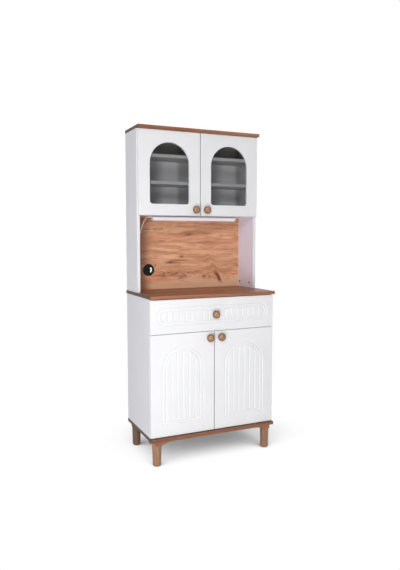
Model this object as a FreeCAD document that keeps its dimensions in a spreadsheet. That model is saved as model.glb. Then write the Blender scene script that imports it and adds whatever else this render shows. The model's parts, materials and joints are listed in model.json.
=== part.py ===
import FreeCAD, Part
import math
import os
import Sketcher
from FreeCAD import Placement, Rotation, Vector

# A two-part coffee bar cabinet: a base on four round legs with one drawer and two doors, an open
# niche with a lamp above the counter, and a shallower hutch with two glazed doors.
# Frame: +Z up, fronts face -Y, +X to the right. The origin is on the floor, under the middle of
# the box round the cabinet without its lamp cord. All lengths are in millimetres.

SIZES = {
    # Carcass
    "width": 804,
    "board": 18,
    "panel": 18,
    "base_depth": 410,
    "hutch_depth": 210,
    "leg_height": 150,
    "base_height": 804,
    "hutch_height": 962,
    "niche_height": 460,
    # How far the walnut boards stand out past the panels and the fronts
    "base_board_side": 2,
    "base_board_front": 16,
    "counter_side": 4,
    "counter_front": 16,
    "top_side": 1,
    "top_front": 17,
    # Backs, set in grooves
    "back": 5,
    "back_inset": 7,
    "groove_into": 6,
    "groove_play": 0.2,
    # Doors and drawer front
    "front": 18,
    "front_gap": 2,
    "front_split": 3,
    "base_side_reveal": 1,
    "hutch_side_reveal": 5,
    "floor_reveal": 3,
    "hutch_reveal": 1.5,
    "drawer_reveal": 5,
    "drawer_face_height": 197,
    "edge_round": 2,
    # Routed lines in the fronts
    "rout_width": 1.2,
    "rout_depth": 3.6,
    "rout_chamfer": 2.9,
    "arch_margin": 70,
    "arch_top_margin": 77.5,
    "ring_band": 20,
    "ring_low_band": 16,
    "flute_pitch": 37,
    "flute_row_margin": 3,
    "door_flute_margin": 30,
    "flute_end_gap": 7,
    "stadium_margin": 42,
    "stadium_half_height": 52,
    "stadium_band": 19.5,
    # Glazed doors
    "window_half_width": 126.5,
    "window_bottom_margin": 67,
    "window_top_margin": 69.5,
    "window_corner": 18,
    "window_chamfer": 1.5,
    "rebate_width": 8,
    "pane": 4,
    "bead": 3,
    "pane_play": 0.4,
    # Legs, aprons and leg bolts
    "leg_top_radius": 28,
    "leg_foot_radius": 24.5,
    "leg_foot_round": 12,
    "leg_back_inset": 38,
    "bolt_radius": 4,
    "bolt_in_leg": 28,
    "bolt_in_board": 14,
    "bolt_play": 0.1,
    "apron": 8,
    "apron_side_setback": 7,
    "apron_past_leg": 16,
    "side_apron_short": 12,
    "apron_drop": 22,
    "apron_strip": 4.5,
    "apron_flat": 16,
    "apron_scallop": 93,
    "apron_play": 0.4,
    # Shelves and their pins
    "shelf_play": 0.5,
    "shelf_setback": 4,
    "base_shelf_bottom": 300,
    "base_shelf_setback": 20,
    "pin_radius": 2.5,
    "pin_in": 8,
    "pin_out": 8,
    "pin_edge": 37,
    "pin_play": 0.1,
    # Cam locks
    "cam_radius": 7.5,
    "cam_depth": 12.5,
    "cam_from_end": 34,
    "cam_from_rear": 34,
    "cam_spacing": 128,
    "cam_stagger": 32,
    "cam_play": 0.1,
    "cam_slot": 1.6,
    "cam_slot_depth": 2,
    "cam_bolt_radius": 3,
    "cam_bolt_in_board": 11,
    # Drawer
    "drawer_wall": 12,
    "drawer_depth": 350,
    "drawer_height": 140,
    "drawer_lift": 12.5,
    "drawer_bottom": 5,
    "drawer_bottom_lift": 10,
    "runner_space": 13,
    "runner_height": 35,
    "runner_steel": 1.2,
    "runner_play": 0.4,
    "runner_setback": 2,
    "runner_lip": 10,
    # Knobs
    "knob_radius": 23,
    "knob_neck_radius": 11,
    "knob_neck_length": 8,
    "knob_rim": 10,
    "knob_projection": 36,
    "knob_inset": 35,
    # Concealed hinges
    "hinge_from_end": 90,
    "cup_radius": 17.4,
    "cup_bore_play": 0.1,
    "cup_depth": 11.3,
    "cup_steel": 1.5,
    "cup_inset": 22.5,
    "cup_flange": 1.2,
    "cup_flange_height": 52,
    "cup_flange_width": 16,
    "cup_pin_radius": 1.5,
    "cup_pin_depth": 6,
    "cup_pin_play": 0.3,
    "arm_thickness": 10,
    "arm_height": 14,
    "arm_length": 62,
    "arm_setback": 3,
    "arm_tip": 6,
    "plate_steel": 2,
    "plate_height": 50,
    "plate_width": 18,
    "plate_setback": 28,
    # Lamp under the hutch floor
    "lamp_length": 570,
    "lamp_width": 24,
    "lamp_housing": 11,
    "lamp_lens": 16,
    "lamp_lens_wall": 1.5,
    "lamp_cap": 8,
    "lamp_drop": 1.5,
    "lamp_setback": 54,
    "clip_width": 14,
    "clip_steel": 1.2,
    "clip_grip": 6,
    "clip_spacing": 324,
    "clip_play": 0.1,
    # Cable grommet in the niche back
    "grommet_inset": 122,
    "grommet_lift": 123.5,
    "grommet_hole": 30,
    "grommet_play": 0.3,
    "grommet_wall": 2,
    "grommet_flange_radius": 37.5,
    "grommet_flange": 2.5,
    "grommet_sleeve": 11,
    "grommet_seat": 1.5,
    "cap_slot_start": 10,
    "cap_slot_half_height": 16,
    "cap_rim": 1.8,
    # Lamp cord
    "cord_radius": 2,
    "cord_hole_radius": 5,
    "cord_hole_inset": 19,
    "cord_hole_drop": 197,
    "plug_radius": 13,
    "plug_length": 40,
    "plug_neck_radius": 5,
    "plug_neck_length": 12,
    "plug_pin_radius": 2,
    "plug_pin_length": 19,
    "plug_pin_spacing": 19,
    # Length that a cutting tool runs on past a face
    "overrun": 1,
}

# Heights of the hutch's shelves, from its floor up to its top
HUTCH_SHELF_SHARES = (0.3492, 0.6756)

# How much of its shorter run each arc of the cord takes up
CORD_ARC_SHARE = 0.45

TOLERANCE = 1e-6

doc = FreeCAD.newDocument("coffee_bar_cabinet")
sheet = doc.addObject("Spreadsheet::Sheet", "sizes")
for row, (name, number) in enumerate(SIZES.items(), start=1):
    sheet.set("A%d" % row, name)
    sheet.set("B%d" % row, str(number))
    sheet.setAlias("B%d" % row, name)
doc.recompute()


class Size:
    """A length worked out from the sheet, together with the expression that keeps it bound."""

    def __init__(self, value, text):
        self.value = float(value)
        self.text = text

    def __add__(self, other):
        other = as_size(other)
        return Size(self.value + other.value, "(%s + %s)" % (self.text, other.text))

    def __radd__(self, other):
        return as_size(other) + self

    def __sub__(self, other):
        other = as_size(other)
        return Size(self.value - other.value, "(%s - %s)" % (self.text, other.text))

    def __rsub__(self, other):
        return as_size(other) - self

    def __mul__(self, other):
        other = as_size(other)
        return Size(self.value * other.value, "(%s * %s)" % (self.text, other.text))

    def __rmul__(self, other):
        return as_size(other) * self

    def __truediv__(self, other):
        other = as_size(other)
        return Size(self.value / other.value, "(%s / %s)" % (self.text, other.text))

    def __neg__(self):
        return Size(-self.value, "(0 - %s)" % self.text)

    def root(self):
        return Size(math.sqrt(self.value), "sqrt(%s)" % self.text)


def as_size(thing):
    if isinstance(thing, Size):
        return thing
    return Size(thing, repr(thing))


class Named:
    """Every size of the sheet as an attribute."""


d = Named()
for name in SIZES:
    setattr(d, name, Size(getattr(sheet, name), "sizes.%s" % name))

zero = as_size(0)

# Places along X
half_width = d.width / 2
inner_face = half_width - d.panel

# Places along Y
rear = (d.base_depth + d.front_gap + d.front + d.knob_projection) / 2
back_face = rear - d.back_inset - d.back
base_edge = rear - d.base_depth
base_door_back = base_edge - d.front_gap
base_face = base_door_back - d.front
hutch_edge = rear - d.hutch_depth
hutch_door_back = hutch_edge - d.front_gap
hutch_face = hutch_door_back - d.front

# Places along Z
base_floor = d.leg_height + d.board
counter_bottom = base_floor + d.base_height
counter_level = counter_bottom + d.board
hutch_floor_bottom = counter_level + d.niche_height
top_bottom = counter_level + d.hutch_height

# Fronts
base_door_bottom = base_floor + d.floor_reveal
drawer_face_top = counter_bottom - d.drawer_reveal
drawer_face_bottom = drawer_face_top - d.drawer_face_height
base_door_top = drawer_face_bottom - d.front_split
base_door_height = base_door_top - base_door_bottom
base_door_outer = half_width - d.base_side_reveal
hutch_door_bottom = hutch_floor_bottom + d.hutch_reveal
hutch_door_height = top_bottom - d.hutch_reveal - hutch_door_bottom
hutch_door_outer = half_width - d.hutch_side_reveal
door_inner = d.front_split / 2

window_bottom = d.window_bottom_margin
window_top = hutch_door_height - d.window_top_margin

# Shelves
hutch_floor_top = hutch_floor_bottom + d.panel
hutch_shelf_levels = [hutch_floor_top + (top_bottom - hutch_floor_top) * share
                      for share in HUTCH_SHELF_SHARES]
base_shelf_levels = [base_floor + d.base_shelf_bottom]

# Lamp and grommet
lamp_front = hutch_edge + d.lamp_setback
lamp_top = hutch_floor_bottom - d.lamp_drop
grommet_x = d.grommet_inset - inner_face
grommet_z = counter_level + d.grommet_lift

nodes = {}


def keep(label, thing):
    """Gives a finished sub-part its name."""
    thing.Label = label
    nodes[label] = thing
    return thing


def bind(thing, prop, size):
    thing.setExpression(prop, as_size(size).text)


def place(thing, x, y, z, rotation=None):
    """Puts a thing's own origin at a point worked out from the sheet."""
    if rotation is not None:
        thing.Placement = Placement(Vector(), rotation)
    bind(thing, "Placement.Base.x", x)
    bind(thing, "Placement.Base.y", y)
    bind(thing, "Placement.Base.z", z)
    return thing


ALONG_X = Rotation(Vector(0, 0, 1), Vector(1, 0, 0))
ALONG_Y = Rotation(Vector(0, 0, 1), Vector(0, 1, 0))
ALONG_Z = Rotation()


def box(x0, x1, y0, y1, z0, z1, name="block"):
    """A block between three pairs of faces."""
    block = doc.addObject("Part::Box", name)
    bind(block, "Length", as_size(x1) - x0)
    bind(block, "Width", as_size(y1) - y0)
    bind(block, "Height", as_size(z1) - z0)
    return place(block, x0, y0, z0)


def sided_box(side, x0, x1, y0, y1, z0, z1, name="block"):
    """A block given by its distances from the middle plane, on the left (-1) or the right (1)."""
    if side > 0:
        return box(x0, x1, y0, y1, z0, z1, name)
    return box(-x1, -x0, y0, y1, z0, z1, name)


def rod(radius, length, x, y, z, direction=ALONG_Z, name="rod"):
    cylinder = doc.addObject("Part::Cylinder", name)
    bind(cylinder, "Radius", radius)
    bind(cylinder, "Height", length)
    return place(cylinder, x, y, z, direction)


def cut(base, tools, name="cut"):
    result = doc.addObject("Part::Cut", name)
    result.Base = base
    result.Tool = tools[0] if len(tools) == 1 else joined(tools)
    return result


def joined(things, name="joined"):
    fusion = doc.addObject("Part::MultiFuse", name)
    fusion.Shapes = things
    return fusion


def group(things, name="group"):
    """Separate solids that share one node."""
    compound = doc.addObject("Part::Compound", name)
    compound.Links = things
    return compound


def new_body(name):
    return doc.addObject("PartDesign::Body", name)


def new_sketch(body, role, name, lift=None):
    """A sketch on one of the body's own planes, lifted along that plane's normal."""
    plane = [f for f in body.Origin.OriginFeatures if f.Role == role][0]
    drawing = body.newObject("Sketcher::SketchObject", name)
    drawing.AttachmentSupport = (plane, [""])
    drawing.MapMode = "FlatFace"
    if lift is not None:
        bind(drawing, "AttachmentOffset.Base.z", lift)
    return drawing


def fix_point(drawing, geometry, end, x, y):
    for kind, size, axis in (("DistanceX", as_size(x), -2), ("DistanceY", as_size(y), -1)):
        if size.value == 0:
            drawing.addConstraint(Sketcher.Constraint("PointOnObject", geometry, end, axis))
            continue
        index = drawing.addConstraint(
            Sketcher.Constraint(kind, -1, 1, geometry, end, size.value))
        drawing.setExpression("Constraints[%d]" % index, size.text)


def outline(drawing, corners, arcs=None):
    """A closed outline through its corners. arcs gives, for the stretch that starts at a corner,
    the arc's centre and its turn: 1 anticlockwise, -1 clockwise."""
    arcs = arcs or {}
    corners = [(as_size(x), as_size(y)) for x, y in corners]
    count = len(corners)
    first = drawing.GeometryCount
    starts = []
    ends = []
    for index, (x, y) in enumerate(corners):
        after = corners[(index + 1) % count]
        a = Vector(x.value, y.value, 0)
        b = Vector(after[0].value, after[1].value, 0)
        if index not in arcs:
            drawing.addGeometry(Part.LineSegment(a, b), False)
            starts.append(1)
            ends.append(2)
            continue
        centre, turn = arcs[index]
        middle = Vector(as_size(centre[0]).value, as_size(centre[1]).value, 0)
        begin, finish = (a, b) if turn > 0 else (b, a)
        angles = [math.atan2(p.y - middle.y, p.x - middle.x) for p in (begin, finish)]
        if angles[1] <= angles[0]:
            angles[1] += 2 * math.pi
        circle = Part.Circle(middle, Vector(0, 0, 1), (a - middle).Length)
        drawing.addGeometry(Part.ArcOfCircle(circle, angles[0], angles[1]), False)
        starts.append(1 if turn > 0 else 2)
        ends.append(2 if turn > 0 else 1)
    for index, (x, y) in enumerate(corners):
        before = (index - 1) % count
        drawing.addConstraint(Sketcher.Constraint(
            "Coincident", first + before, ends[before], first + index, starts[index]))
        fix_point(drawing, first + index, starts[index], x, y)
    for index, (centre, turn) in arcs.items():
        a = corners[index]
        b = corners[(index + 1) % count]
        level = abs(b[0].value - a[0].value) > abs(b[1].value - a[1].value)
        kind, size, axis = ("DistanceY", as_size(centre[1]), -1) if level else (
            "DistanceX", as_size(centre[0]), -2)
        if size.value == 0:
            drawing.addConstraint(Sketcher.Constraint("PointOnObject", first + index, 3, axis))
            continue
        number = drawing.addConstraint(
            Sketcher.Constraint(kind, -1, 1, first + index, 3, size.value))
        drawing.setExpression("Constraints[%d]" % number, size.text)


def ring(drawing, radius, x, y):
    index = drawing.GeometryCount
    middle = Vector(as_size(x).value, as_size(y).value, 0)
    drawing.addGeometry(Part.Circle(middle, Vector(0, 0, 1), radius.value), False)
    number = drawing.addConstraint(Sketcher.Constraint("Radius", index, radius.value))
    drawing.setExpression("Constraints[%d]" % number, radius.text)
    fix_point(drawing, index, 3, x, y)


def rectangle(drawing, x0, x1, y0, y1):
    outline(drawing, [(x0, y0), (x1, y0), (x1, y1), (x0, y1)])


def arch(drawing, half, bottom, spring, corner=None):
    """A round-topped outline on the middle line, with its lower corners rounded if asked."""
    if corner is None:
        outline(drawing, [(-half, bottom), (half, bottom), (half, spring), (-half, spring)],
                {2: ((zero, spring), 1)})
        return
    low = bottom + corner
    side = half - corner
    outline(drawing,
            [(-side, bottom), (side, bottom), (half, low), (half, spring), (-half, spring),
             (-half, low)],
            {1: ((side, low), 1), 3: ((zero, spring), 1), 5: ((-side, low), 1)})


def stadium(drawing, half_length, half_height, middle):
    straight = half_length - half_height
    outline(drawing,
            [(-straight, middle - half_height), (straight, middle - half_height),
             (straight, middle + half_height), (-straight, middle + half_height)],
            {1: ((straight, middle), 1), 3: ((-straight, middle), 1)})


def pad(body, drawing, length, name="pad"):
    feature = body.newObject("PartDesign::Pad", name)
    feature.Profile = drawing
    bind(feature, "Length", length)
    doc.recompute()
    return feature


def pocket(body, drawing, length=None, backwards=False, name="pocket"):
    """Cuts a sketch into the body, right through where no length is given."""
    before = body.Shape.Volume
    feature = body.newObject("PartDesign::Pocket", name)
    feature.Profile = drawing
    feature.Reversed = backwards
    if length is None:
        feature.Type = "ThroughAll"
    else:
        bind(feature, "Length", length)
    doc.recompute()
    if not feature.Shape.Volume < before:
        raise RuntimeError("%s of %s cuts nothing" % (name, body.Name))
    return feature


def turned(body, drawing, name="turned"):
    feature = body.newObject("PartDesign::Revolution", name)
    feature.Profile = drawing
    feature.ReferenceAxis = (drawing, ["V_Axis"])
    feature.Angle = 360
    doc.recompute()
    return feature


def edge_names(feature, wanted):
    """The names of a feature's edges whose every vertex and middle meets a test."""
    names = []
    for index, edge in enumerate(feature.Shape.Edges, start=1):
        middle = edge.valueAt((edge.FirstParameter + edge.LastParameter) / 2)
        points = [vertex.Point for vertex in edge.Vertexes] + [middle]
        if all(wanted(point) for point in points):
            names.append("Edge%d" % index)
    return names


def dress(body, kind, feature, wanted, size):
    """A fillet or a chamfer on the edges that meet a test."""
    dressed = body.newObject("PartDesign::%s" % kind, kind.lower())
    dressed.Base = (feature, edge_names(feature, wanted))
    bind(dressed, "Radius" if kind == "Fillet" else "Size", size)
    doc.recompute()
    if dressed.Shape.isNull():
        raise RuntimeError("%s of %s failed" % (kind, body.Name))
    return dressed


def near(a, b):
    return abs(a - b) < TOLERANCE


# Legs, their bolts and the base board
base_board_edge = base_face - d.base_board_front
apron_side = half_width + d.base_board_side - d.apron_side_setback
behind_apron = d.apron + d.apron_play + d.leg_top_radius
leg_x = apron_side - behind_apron
front_leg_y = base_board_edge + behind_apron
back_leg_y = rear - d.leg_back_inset
leg_places = [(name, hand, across * leg_x, y)
              for across, hand in ((-1, "left"), (1, "right"))
              for name, y in (("front", front_leg_y), ("back", back_leg_y))]


def make_leg(label, x, y):
    """A turned leg: a straight taper, a rounded foot and a blind hole for its bolt."""
    body = new_body(label)
    profile = new_sketch(body, "XZ_Plane", "leg_profile")
    flat = d.leg_foot_radius - d.leg_foot_round
    hole = d.bolt_radius + d.bolt_play
    hole_floor = d.leg_height - d.bolt_in_leg
    outline(profile,
            [(zero, zero), (flat, zero), (d.leg_foot_radius, d.leg_foot_round),
             (d.leg_top_radius, d.leg_height), (hole, d.leg_height), (hole, hole_floor),
             (zero, hole_floor)],
            {1: ((flat, d.leg_foot_round), 1)})
    turned(body, profile)
    keep(label, place(body, x, y, zero))


for name, hand, x, y in leg_places:
    make_leg("leg_%s_%s" % (name, hand), x, y)

leg_bolts = [rod(d.bolt_radius, d.bolt_in_leg + d.bolt_in_board, x, y,
                 d.leg_height - d.bolt_in_leg, name="leg_bolt")
             for name, hand, x, y in leg_places]
keep("leg_bolts", group(leg_bolts))

# Cam fittings: a cam in each side panel holds a bolt that stands in the board across its end.
# The base's are staggered, so that they don't meet the hutch's in the counter.
hutch_cam_places = [rear - d.cam_from_rear, rear - d.cam_from_rear - d.cam_spacing]
base_cam_places = [rear - d.cam_from_rear - d.cam_stagger, base_edge + d.cam_from_rear]
cam_rows = [
    (hutch_cam_places, counter_level, 1),
    (hutch_cam_places, top_bottom, -1),
    (base_cam_places, base_floor, 1),
    (base_cam_places, counter_bottom, -1),
]


def cam_hole(side, y, joint, upwards):
    start = inner_face - d.overrun if side > 0 else -inner_face - d.cam_depth
    return rod(d.cam_radius + d.cam_play, d.cam_depth + d.overrun, start, y,
               joint + upwards * d.cam_from_end, ALONG_X, "cam_hole")


def cam_bolt_hole(side, y, joint, upwards):
    """The hole for a cam's bolt, through the panel's end and into the board."""
    bottom = joint - d.cam_bolt_in_board if upwards > 0 else joint - d.cam_from_end
    return rod(d.cam_bolt_radius + d.cam_play, d.cam_from_end + d.cam_bolt_in_board,
               side * (half_width - d.panel / 2), y, bottom, name="cam_bolt_hole")


def make_cam(side, y, joint, upwards):
    """A cam with a screwdriver slot, and its bolt up to the cam's rim."""
    z = joint + upwards * d.cam_from_end
    start = inner_face if side > 0 else -inner_face - d.cam_depth
    cam = rod(d.cam_radius, d.cam_depth, start, y, z, ALONG_X, "cam")
    slot_x0 = inner_face - d.overrun
    slot_x1 = inner_face + d.cam_slot_depth
    slot = sided_box(side, slot_x0, slot_x1, y - d.cam_slot / 2, y + d.cam_slot / 2,
                     z - d.cam_radius, z + d.cam_radius)
    reach = d.cam_from_end - d.cam_radius - d.cam_play
    bottom = joint - d.cam_bolt_in_board if upwards > 0 else joint - reach
    bolt = rod(d.cam_bolt_radius, reach + d.cam_bolt_in_board,
               side * (half_width - d.panel / 2), y, bottom, name="cam_bolt")
    return [cut(cam, [slot], "cam"), bolt]


cam_pieces = []
for ys, joint, upwards in cam_rows:
    for side in (-1, 1):
        for y in ys:
            cam_pieces += make_cam(side, y, joint, upwards)
keep("cam_fittings", group(cam_pieces))


def bolt_holes(joint):
    return [cam_bolt_hole(side, y, level, upwards)
            for ys, level, upwards in cam_rows if level is joint
            for side in (-1, 1) for y in ys]


base_board = box(-half_width - d.base_board_side, half_width + d.base_board_side,
                 base_board_edge, rear, d.leg_height, base_floor, "board")
leg_bolt_holes = [rod(d.bolt_radius + d.bolt_play, d.bolt_in_board + d.overrun, x, y,
                      d.leg_height - d.overrun, name="leg_bolt_hole")
                  for name, hand, x, y in leg_places]
keep("base_board", cut(base_board, leg_bolt_holes + bolt_holes(base_floor)))

counter = box(-half_width - d.counter_side, half_width + d.counter_side,
              base_face - d.counter_front, rear, counter_bottom, counter_level, "board")
keep("counter_top", cut(counter, bolt_holes(counter_level) + bolt_holes(counter_bottom)))

hutch_top = box(-half_width - d.top_side, half_width + d.top_side,
                hutch_face - d.top_front, rear, top_bottom, top_bottom + d.board, "board")
keep("hutch_top", cut(hutch_top, bolt_holes(top_bottom)))


def make_apron(label, role, half_length, past_leg, x, y):
    """A strip under the base board, outside the legs, with an arch between its deeper ends."""
    body = new_body(label)
    profile = new_sketch(body, role, "apron_profile")
    rise = d.apron_drop - d.apron_strip
    run = d.apron_scallop - d.apron_flat
    radius = (run * run + rise * rise) / (2 * rise)
    crown = half_length - past_leg - d.apron_scallop
    foot = half_length - past_leg - d.apron_flat
    below = -d.apron_strip - radius
    outline(profile,
            [(-half_length, zero), (-half_length, -d.apron_drop), (-foot, -d.apron_drop),
             (-crown, -d.apron_strip), (crown, -d.apron_strip), (foot, -d.apron_drop),
             (half_length, -d.apron_drop), (half_length, zero)],
            {2: ((-crown, below), -1), 4: ((crown, below), -1)})
    pad(body, profile, d.apron)
    keep(label, place(body, x, y, d.leg_height))


make_apron("front_apron", "XZ_Plane", leg_x + d.apron_past_leg, d.apron_past_leg, zero,
           base_board_edge + d.apron)
side_half = (back_leg_y - front_leg_y) / 2 - d.side_apron_short
side_middle = (back_leg_y + front_leg_y) / 2
make_apron("side_apron_left", "YZ_Plane", side_half, -d.side_apron_short, -apron_side,
           side_middle)
make_apron("side_apron_right", "YZ_Plane", side_half, -d.side_apron_short,
           apron_side - d.apron, side_middle)

# Side panels, with a groove for the back, cam holes and shelf pin holes

def pin_places(edge):
    return [edge + d.pin_edge, back_face - d.pin_edge]


def pin_holes(side, edge, levels):
    start = inner_face - d.overrun if side > 0 else -inner_face - d.pin_in
    return [rod(d.pin_radius + d.pin_play, d.pin_in + d.overrun, start, y,
                level - d.pin_radius, ALONG_X, "pin_hole")
            for level in levels for y in pin_places(edge)]


def make_pins(label, edge, levels):
    start = inner_face - d.pin_out
    pins = []
    for side in (-1, 1):
        x = start if side > 0 else -start - d.pin_in - d.pin_out
        pins += [rod(d.pin_radius, d.pin_in + d.pin_out, x, y, level - d.pin_radius,
                     ALONG_X, "pin")
                 for level in levels for y in pin_places(edge)]
    keep(label, group(pins))


def make_side(label, side, edge, bottom, top, cam_joints, levels):
    panel = sided_box(side, inner_face, half_width, edge, rear, bottom, top, "panel")
    groove = sided_box(side, inner_face - d.overrun, inner_face + d.groove_into,
                       back_face - d.groove_play, back_face + d.back + d.groove_play,
                       bottom - d.overrun, top + d.overrun, "groove")
    tools = [groove] + pin_holes(side, edge, levels)
    for ys, joint, upwards in cam_rows:
        if joint in cam_joints:
            for y in ys:
                tools.append(cam_hole(side, y, joint, upwards))
                tools.append(cam_bolt_hole(side, y, joint, upwards))
    keep(label, cut(panel, tools))


for side, hand in ((-1, "left"), (1, "right")):
    make_side("base_side_%s" % hand, side, base_edge, base_floor, counter_bottom,
              (base_floor, counter_bottom), base_shelf_levels)
    make_side("hutch_side_%s" % hand, side, hutch_edge, counter_level, top_bottom,
              (counter_level, top_bottom), hutch_shelf_levels)
make_pins("base_shelf_pins", base_edge, base_shelf_levels)
make_pins("hutch_shelf_pins", hutch_edge, hutch_shelf_levels)

# Backs: one behind the base, one behind the niche and one behind the hutch
back_half = inner_face + d.groove_into - d.groove_play
back_joint = hutch_floor_bottom + d.panel / 2


def back_board(bottom, top, name):
    return box(-back_half, back_half, back_face, back_face + d.back, bottom, top, name)


keep("base_back", back_board(base_floor, counter_bottom, "base_back_board"))
cord_hole_x = d.cord_hole_inset - inner_face
cord_hole_z = lamp_top - d.cord_hole_drop
niche_holes = [
    rod(d.grommet_hole, d.back + d.overrun * 2, grommet_x, back_face - d.overrun, grommet_z,
        ALONG_Y, "grommet_hole"),
    rod(d.cord_hole_radius, d.back + d.overrun * 2, cord_hole_x, back_face - d.overrun,
        cord_hole_z, ALONG_Y, "cord_hole"),
]
keep("niche_back", cut(back_board(counter_level, back_joint, "niche_board"), niche_holes))
keep("hutch_back", back_board(back_joint, top_bottom, "hutch_back_board"))

# Boards between the sides
fixed_rear = back_face - d.groove_play
keep("hutch_floor", box(-inner_face, inner_face, hutch_edge, fixed_rear,
                        hutch_floor_bottom, hutch_floor_top))
divider_middle = drawer_face_bottom - d.front_split / 2
keep("base_divider", box(-inner_face, inner_face, base_edge, fixed_rear,
                         divider_middle - d.panel / 2, divider_middle + d.panel / 2))


def make_shelf(label, edge, bottom, setback):
    half = inner_face - d.shelf_play
    keep(label, box(-half, half, edge + setback, fixed_rear - d.shelf_play, bottom,
                    bottom + d.panel))


make_shelf("hutch_shelf_lower", hutch_edge, hutch_shelf_levels[0], d.shelf_setback)
make_shelf("hutch_shelf_upper", hutch_edge, hutch_shelf_levels[1], d.shelf_setback)
make_shelf("base_shelf", base_edge, base_shelf_levels[0], d.base_shelf_setback)


# Fronts
def front_blank(label, half, height):
    """A door or drawer front with its outer edges rounded on the face. Its own origin is at the
    middle of its lower back edge."""
    body = new_body(label)
    profile = new_sketch(body, "XZ_Plane", "front_outline")
    rectangle(profile, -half, half, zero, height)
    blank = pad(body, profile, d.front)
    dress(body, "Fillet", blank, lambda p: near(p.y, -d.front.value), d.edge_round)
    return body


def flute_steps(reach):
    """How many flutes fit on each side of the middle one."""
    return int(reach.value / d.flute_pitch.value)


def rout_edges(body, feature, half):
    """Opens the routed lines into a V on the face."""
    inside = half.value - d.edge_round.value * 2
    return dress(body, "Chamfer", feature,
                 lambda p: near(p.y, -d.front.value) and abs(p.x) < inside, d.rout_chamfer)


def hinge_bores(body, side, half, height):
    bores = new_sketch(body, "XZ_Plane", "hinge_bores")
    for z in (d.hinge_from_end, height - d.hinge_from_end):
        ring(bores, d.cup_radius + d.cup_bore_play, side * (half - d.cup_inset), z)
    pocket(body, bores, d.cup_depth + d.cup_bore_play, backwards=True, name="hinge_bore")


def make_base_door(label, side):
    half = (base_door_outer - door_inner) / 2
    body = front_blank(label, half, base_door_height)
    lines = new_sketch(body, "XZ_Plane", "routed_rings", d.front)
    arch_half = half - d.arch_margin
    spring = base_door_height - d.arch_top_margin - arch_half
    for band, low_band in ((zero, zero), (d.ring_band, d.ring_low_band)):
        for line in (zero, d.rout_width):
            arch(lines, arch_half - band - line, d.arch_margin + low_band + line, spring)
    pocket(body, lines, d.rout_depth, name="routed_ring")
    flutes = new_sketch(body, "XZ_Plane", "routed_flutes", d.front)
    field = arch_half - d.ring_band - d.rout_width
    steps = flute_steps(field - d.door_flute_margin)
    reach = field - d.flute_end_gap
    for step in range(-steps, steps + 1):
        x = step * d.flute_pitch
        corner = abs(step) * d.flute_pitch + d.rout_width / 2
        rectangle(flutes, x - d.rout_width / 2, x + d.rout_width / 2,
                  d.arch_margin + d.ring_low_band + d.rout_width + d.flute_end_gap,
                  spring + (reach * reach - corner * corner).root())
    cut_flutes = pocket(body, flutes, d.rout_depth, name="routed_flute")
    rout_edges(body, cut_flutes, half)
    hinge_bores(body, side, half, base_door_height)
    keep(label, place(body, side * (base_door_outer + door_inner) / 2, base_door_back,
                      base_door_bottom))


def make_drawer_front():
    half = half_width - d.base_side_reveal
    body = front_blank("drawer_front", half, d.drawer_face_height)
    middle = d.drawer_face_height / 2
    lines = new_sketch(body, "XZ_Plane", "routed_rings", d.front)
    for inwards in (zero, d.stadium_band):
        for line in (zero, d.rout_width):
            inset = inwards + line
            stadium(lines, half - d.stadium_margin - inset, d.stadium_half_height - inset, middle)
    pocket(body, lines, d.rout_depth, name="routed_ring")
    flute = new_sketch(body, "XZ_Plane", "first_flute", d.front)
    field = d.stadium_half_height - d.stadium_band - d.rout_width
    straight = half - d.stadium_margin - d.stadium_half_height
    steps = flute_steps(straight - d.flute_row_margin)
    first = -d.flute_pitch * steps
    reach = field - d.flute_end_gap
    rectangle(flute, first - d.rout_width / 2, first + d.rout_width / 2,
              middle - reach, middle + reach)
    cut_flute = pocket(body, flute, d.rout_depth, name="routed_flute")
    row = body.newObject("PartDesign::LinearPattern", "flute_row")
    row.Originals = [cut_flute]
    row.Direction = (flute, ["H_Axis"])
    row.Occurrences = steps * 2 + 1
    bind(row, "Length", d.flute_pitch * steps * 2)
    body.Tip = row
    doc.recompute()
    rout_edges(body, row, half)
    keep("drawer_front", place(body, zero, base_door_back, drawer_face_bottom))


def window_outline(drawing, inset):
    """The window's arch, made smaller all round by an inset."""
    arch(drawing, d.window_half_width - inset, window_bottom + inset,
         window_top - d.window_half_width, d.window_corner - inset)


def make_hutch_door(label, side):
    half = (hutch_door_outer - door_inner) / 2
    body = front_blank(label, half, hutch_door_height)
    opening = new_sketch(body, "XZ_Plane", "window", d.front)
    window_outline(opening, zero)
    through = pocket(body, opening, name="window_opening")
    inside = half.value - d.edge_round.value * 2
    dress(body, "Chamfer", through,
          lambda p: near(p.y, -d.front.value) and abs(p.x) < inside, d.window_chamfer)
    rebate = new_sketch(body, "XZ_Plane", "rebate")
    window_outline(rebate, -d.rebate_width)
    pocket(body, rebate, d.pane + d.bead, backwards=True, name="pane_rebate")
    hinge_bores(body, side, half, hutch_door_height)
    keep(label, place(body, side * (hutch_door_outer + door_inner) / 2, hutch_door_back,
                      hutch_door_bottom))


def make_pane(label, side):
    body = new_body(label)
    shape = new_sketch(body, "XZ_Plane", "pane_outline", d.bead)
    window_outline(shape, d.pane_play - d.rebate_width)
    pad(body, shape, d.pane)
    keep(label, place(body, side * (hutch_door_outer + door_inner) / 2, hutch_door_back,
                      hutch_door_bottom))


def make_bead(label, side):
    """The strip that holds a pane in its rebate from behind."""
    body = new_body(label)
    shape = new_sketch(body, "XZ_Plane", "bead_outline")
    window_outline(shape, d.pane_play - d.rebate_width)
    window_outline(shape, zero)
    pad(body, shape, d.bead)
    keep(label, place(body, side * (hutch_door_outer + door_inner) / 2, hutch_door_back,
                      hutch_door_bottom))


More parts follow.
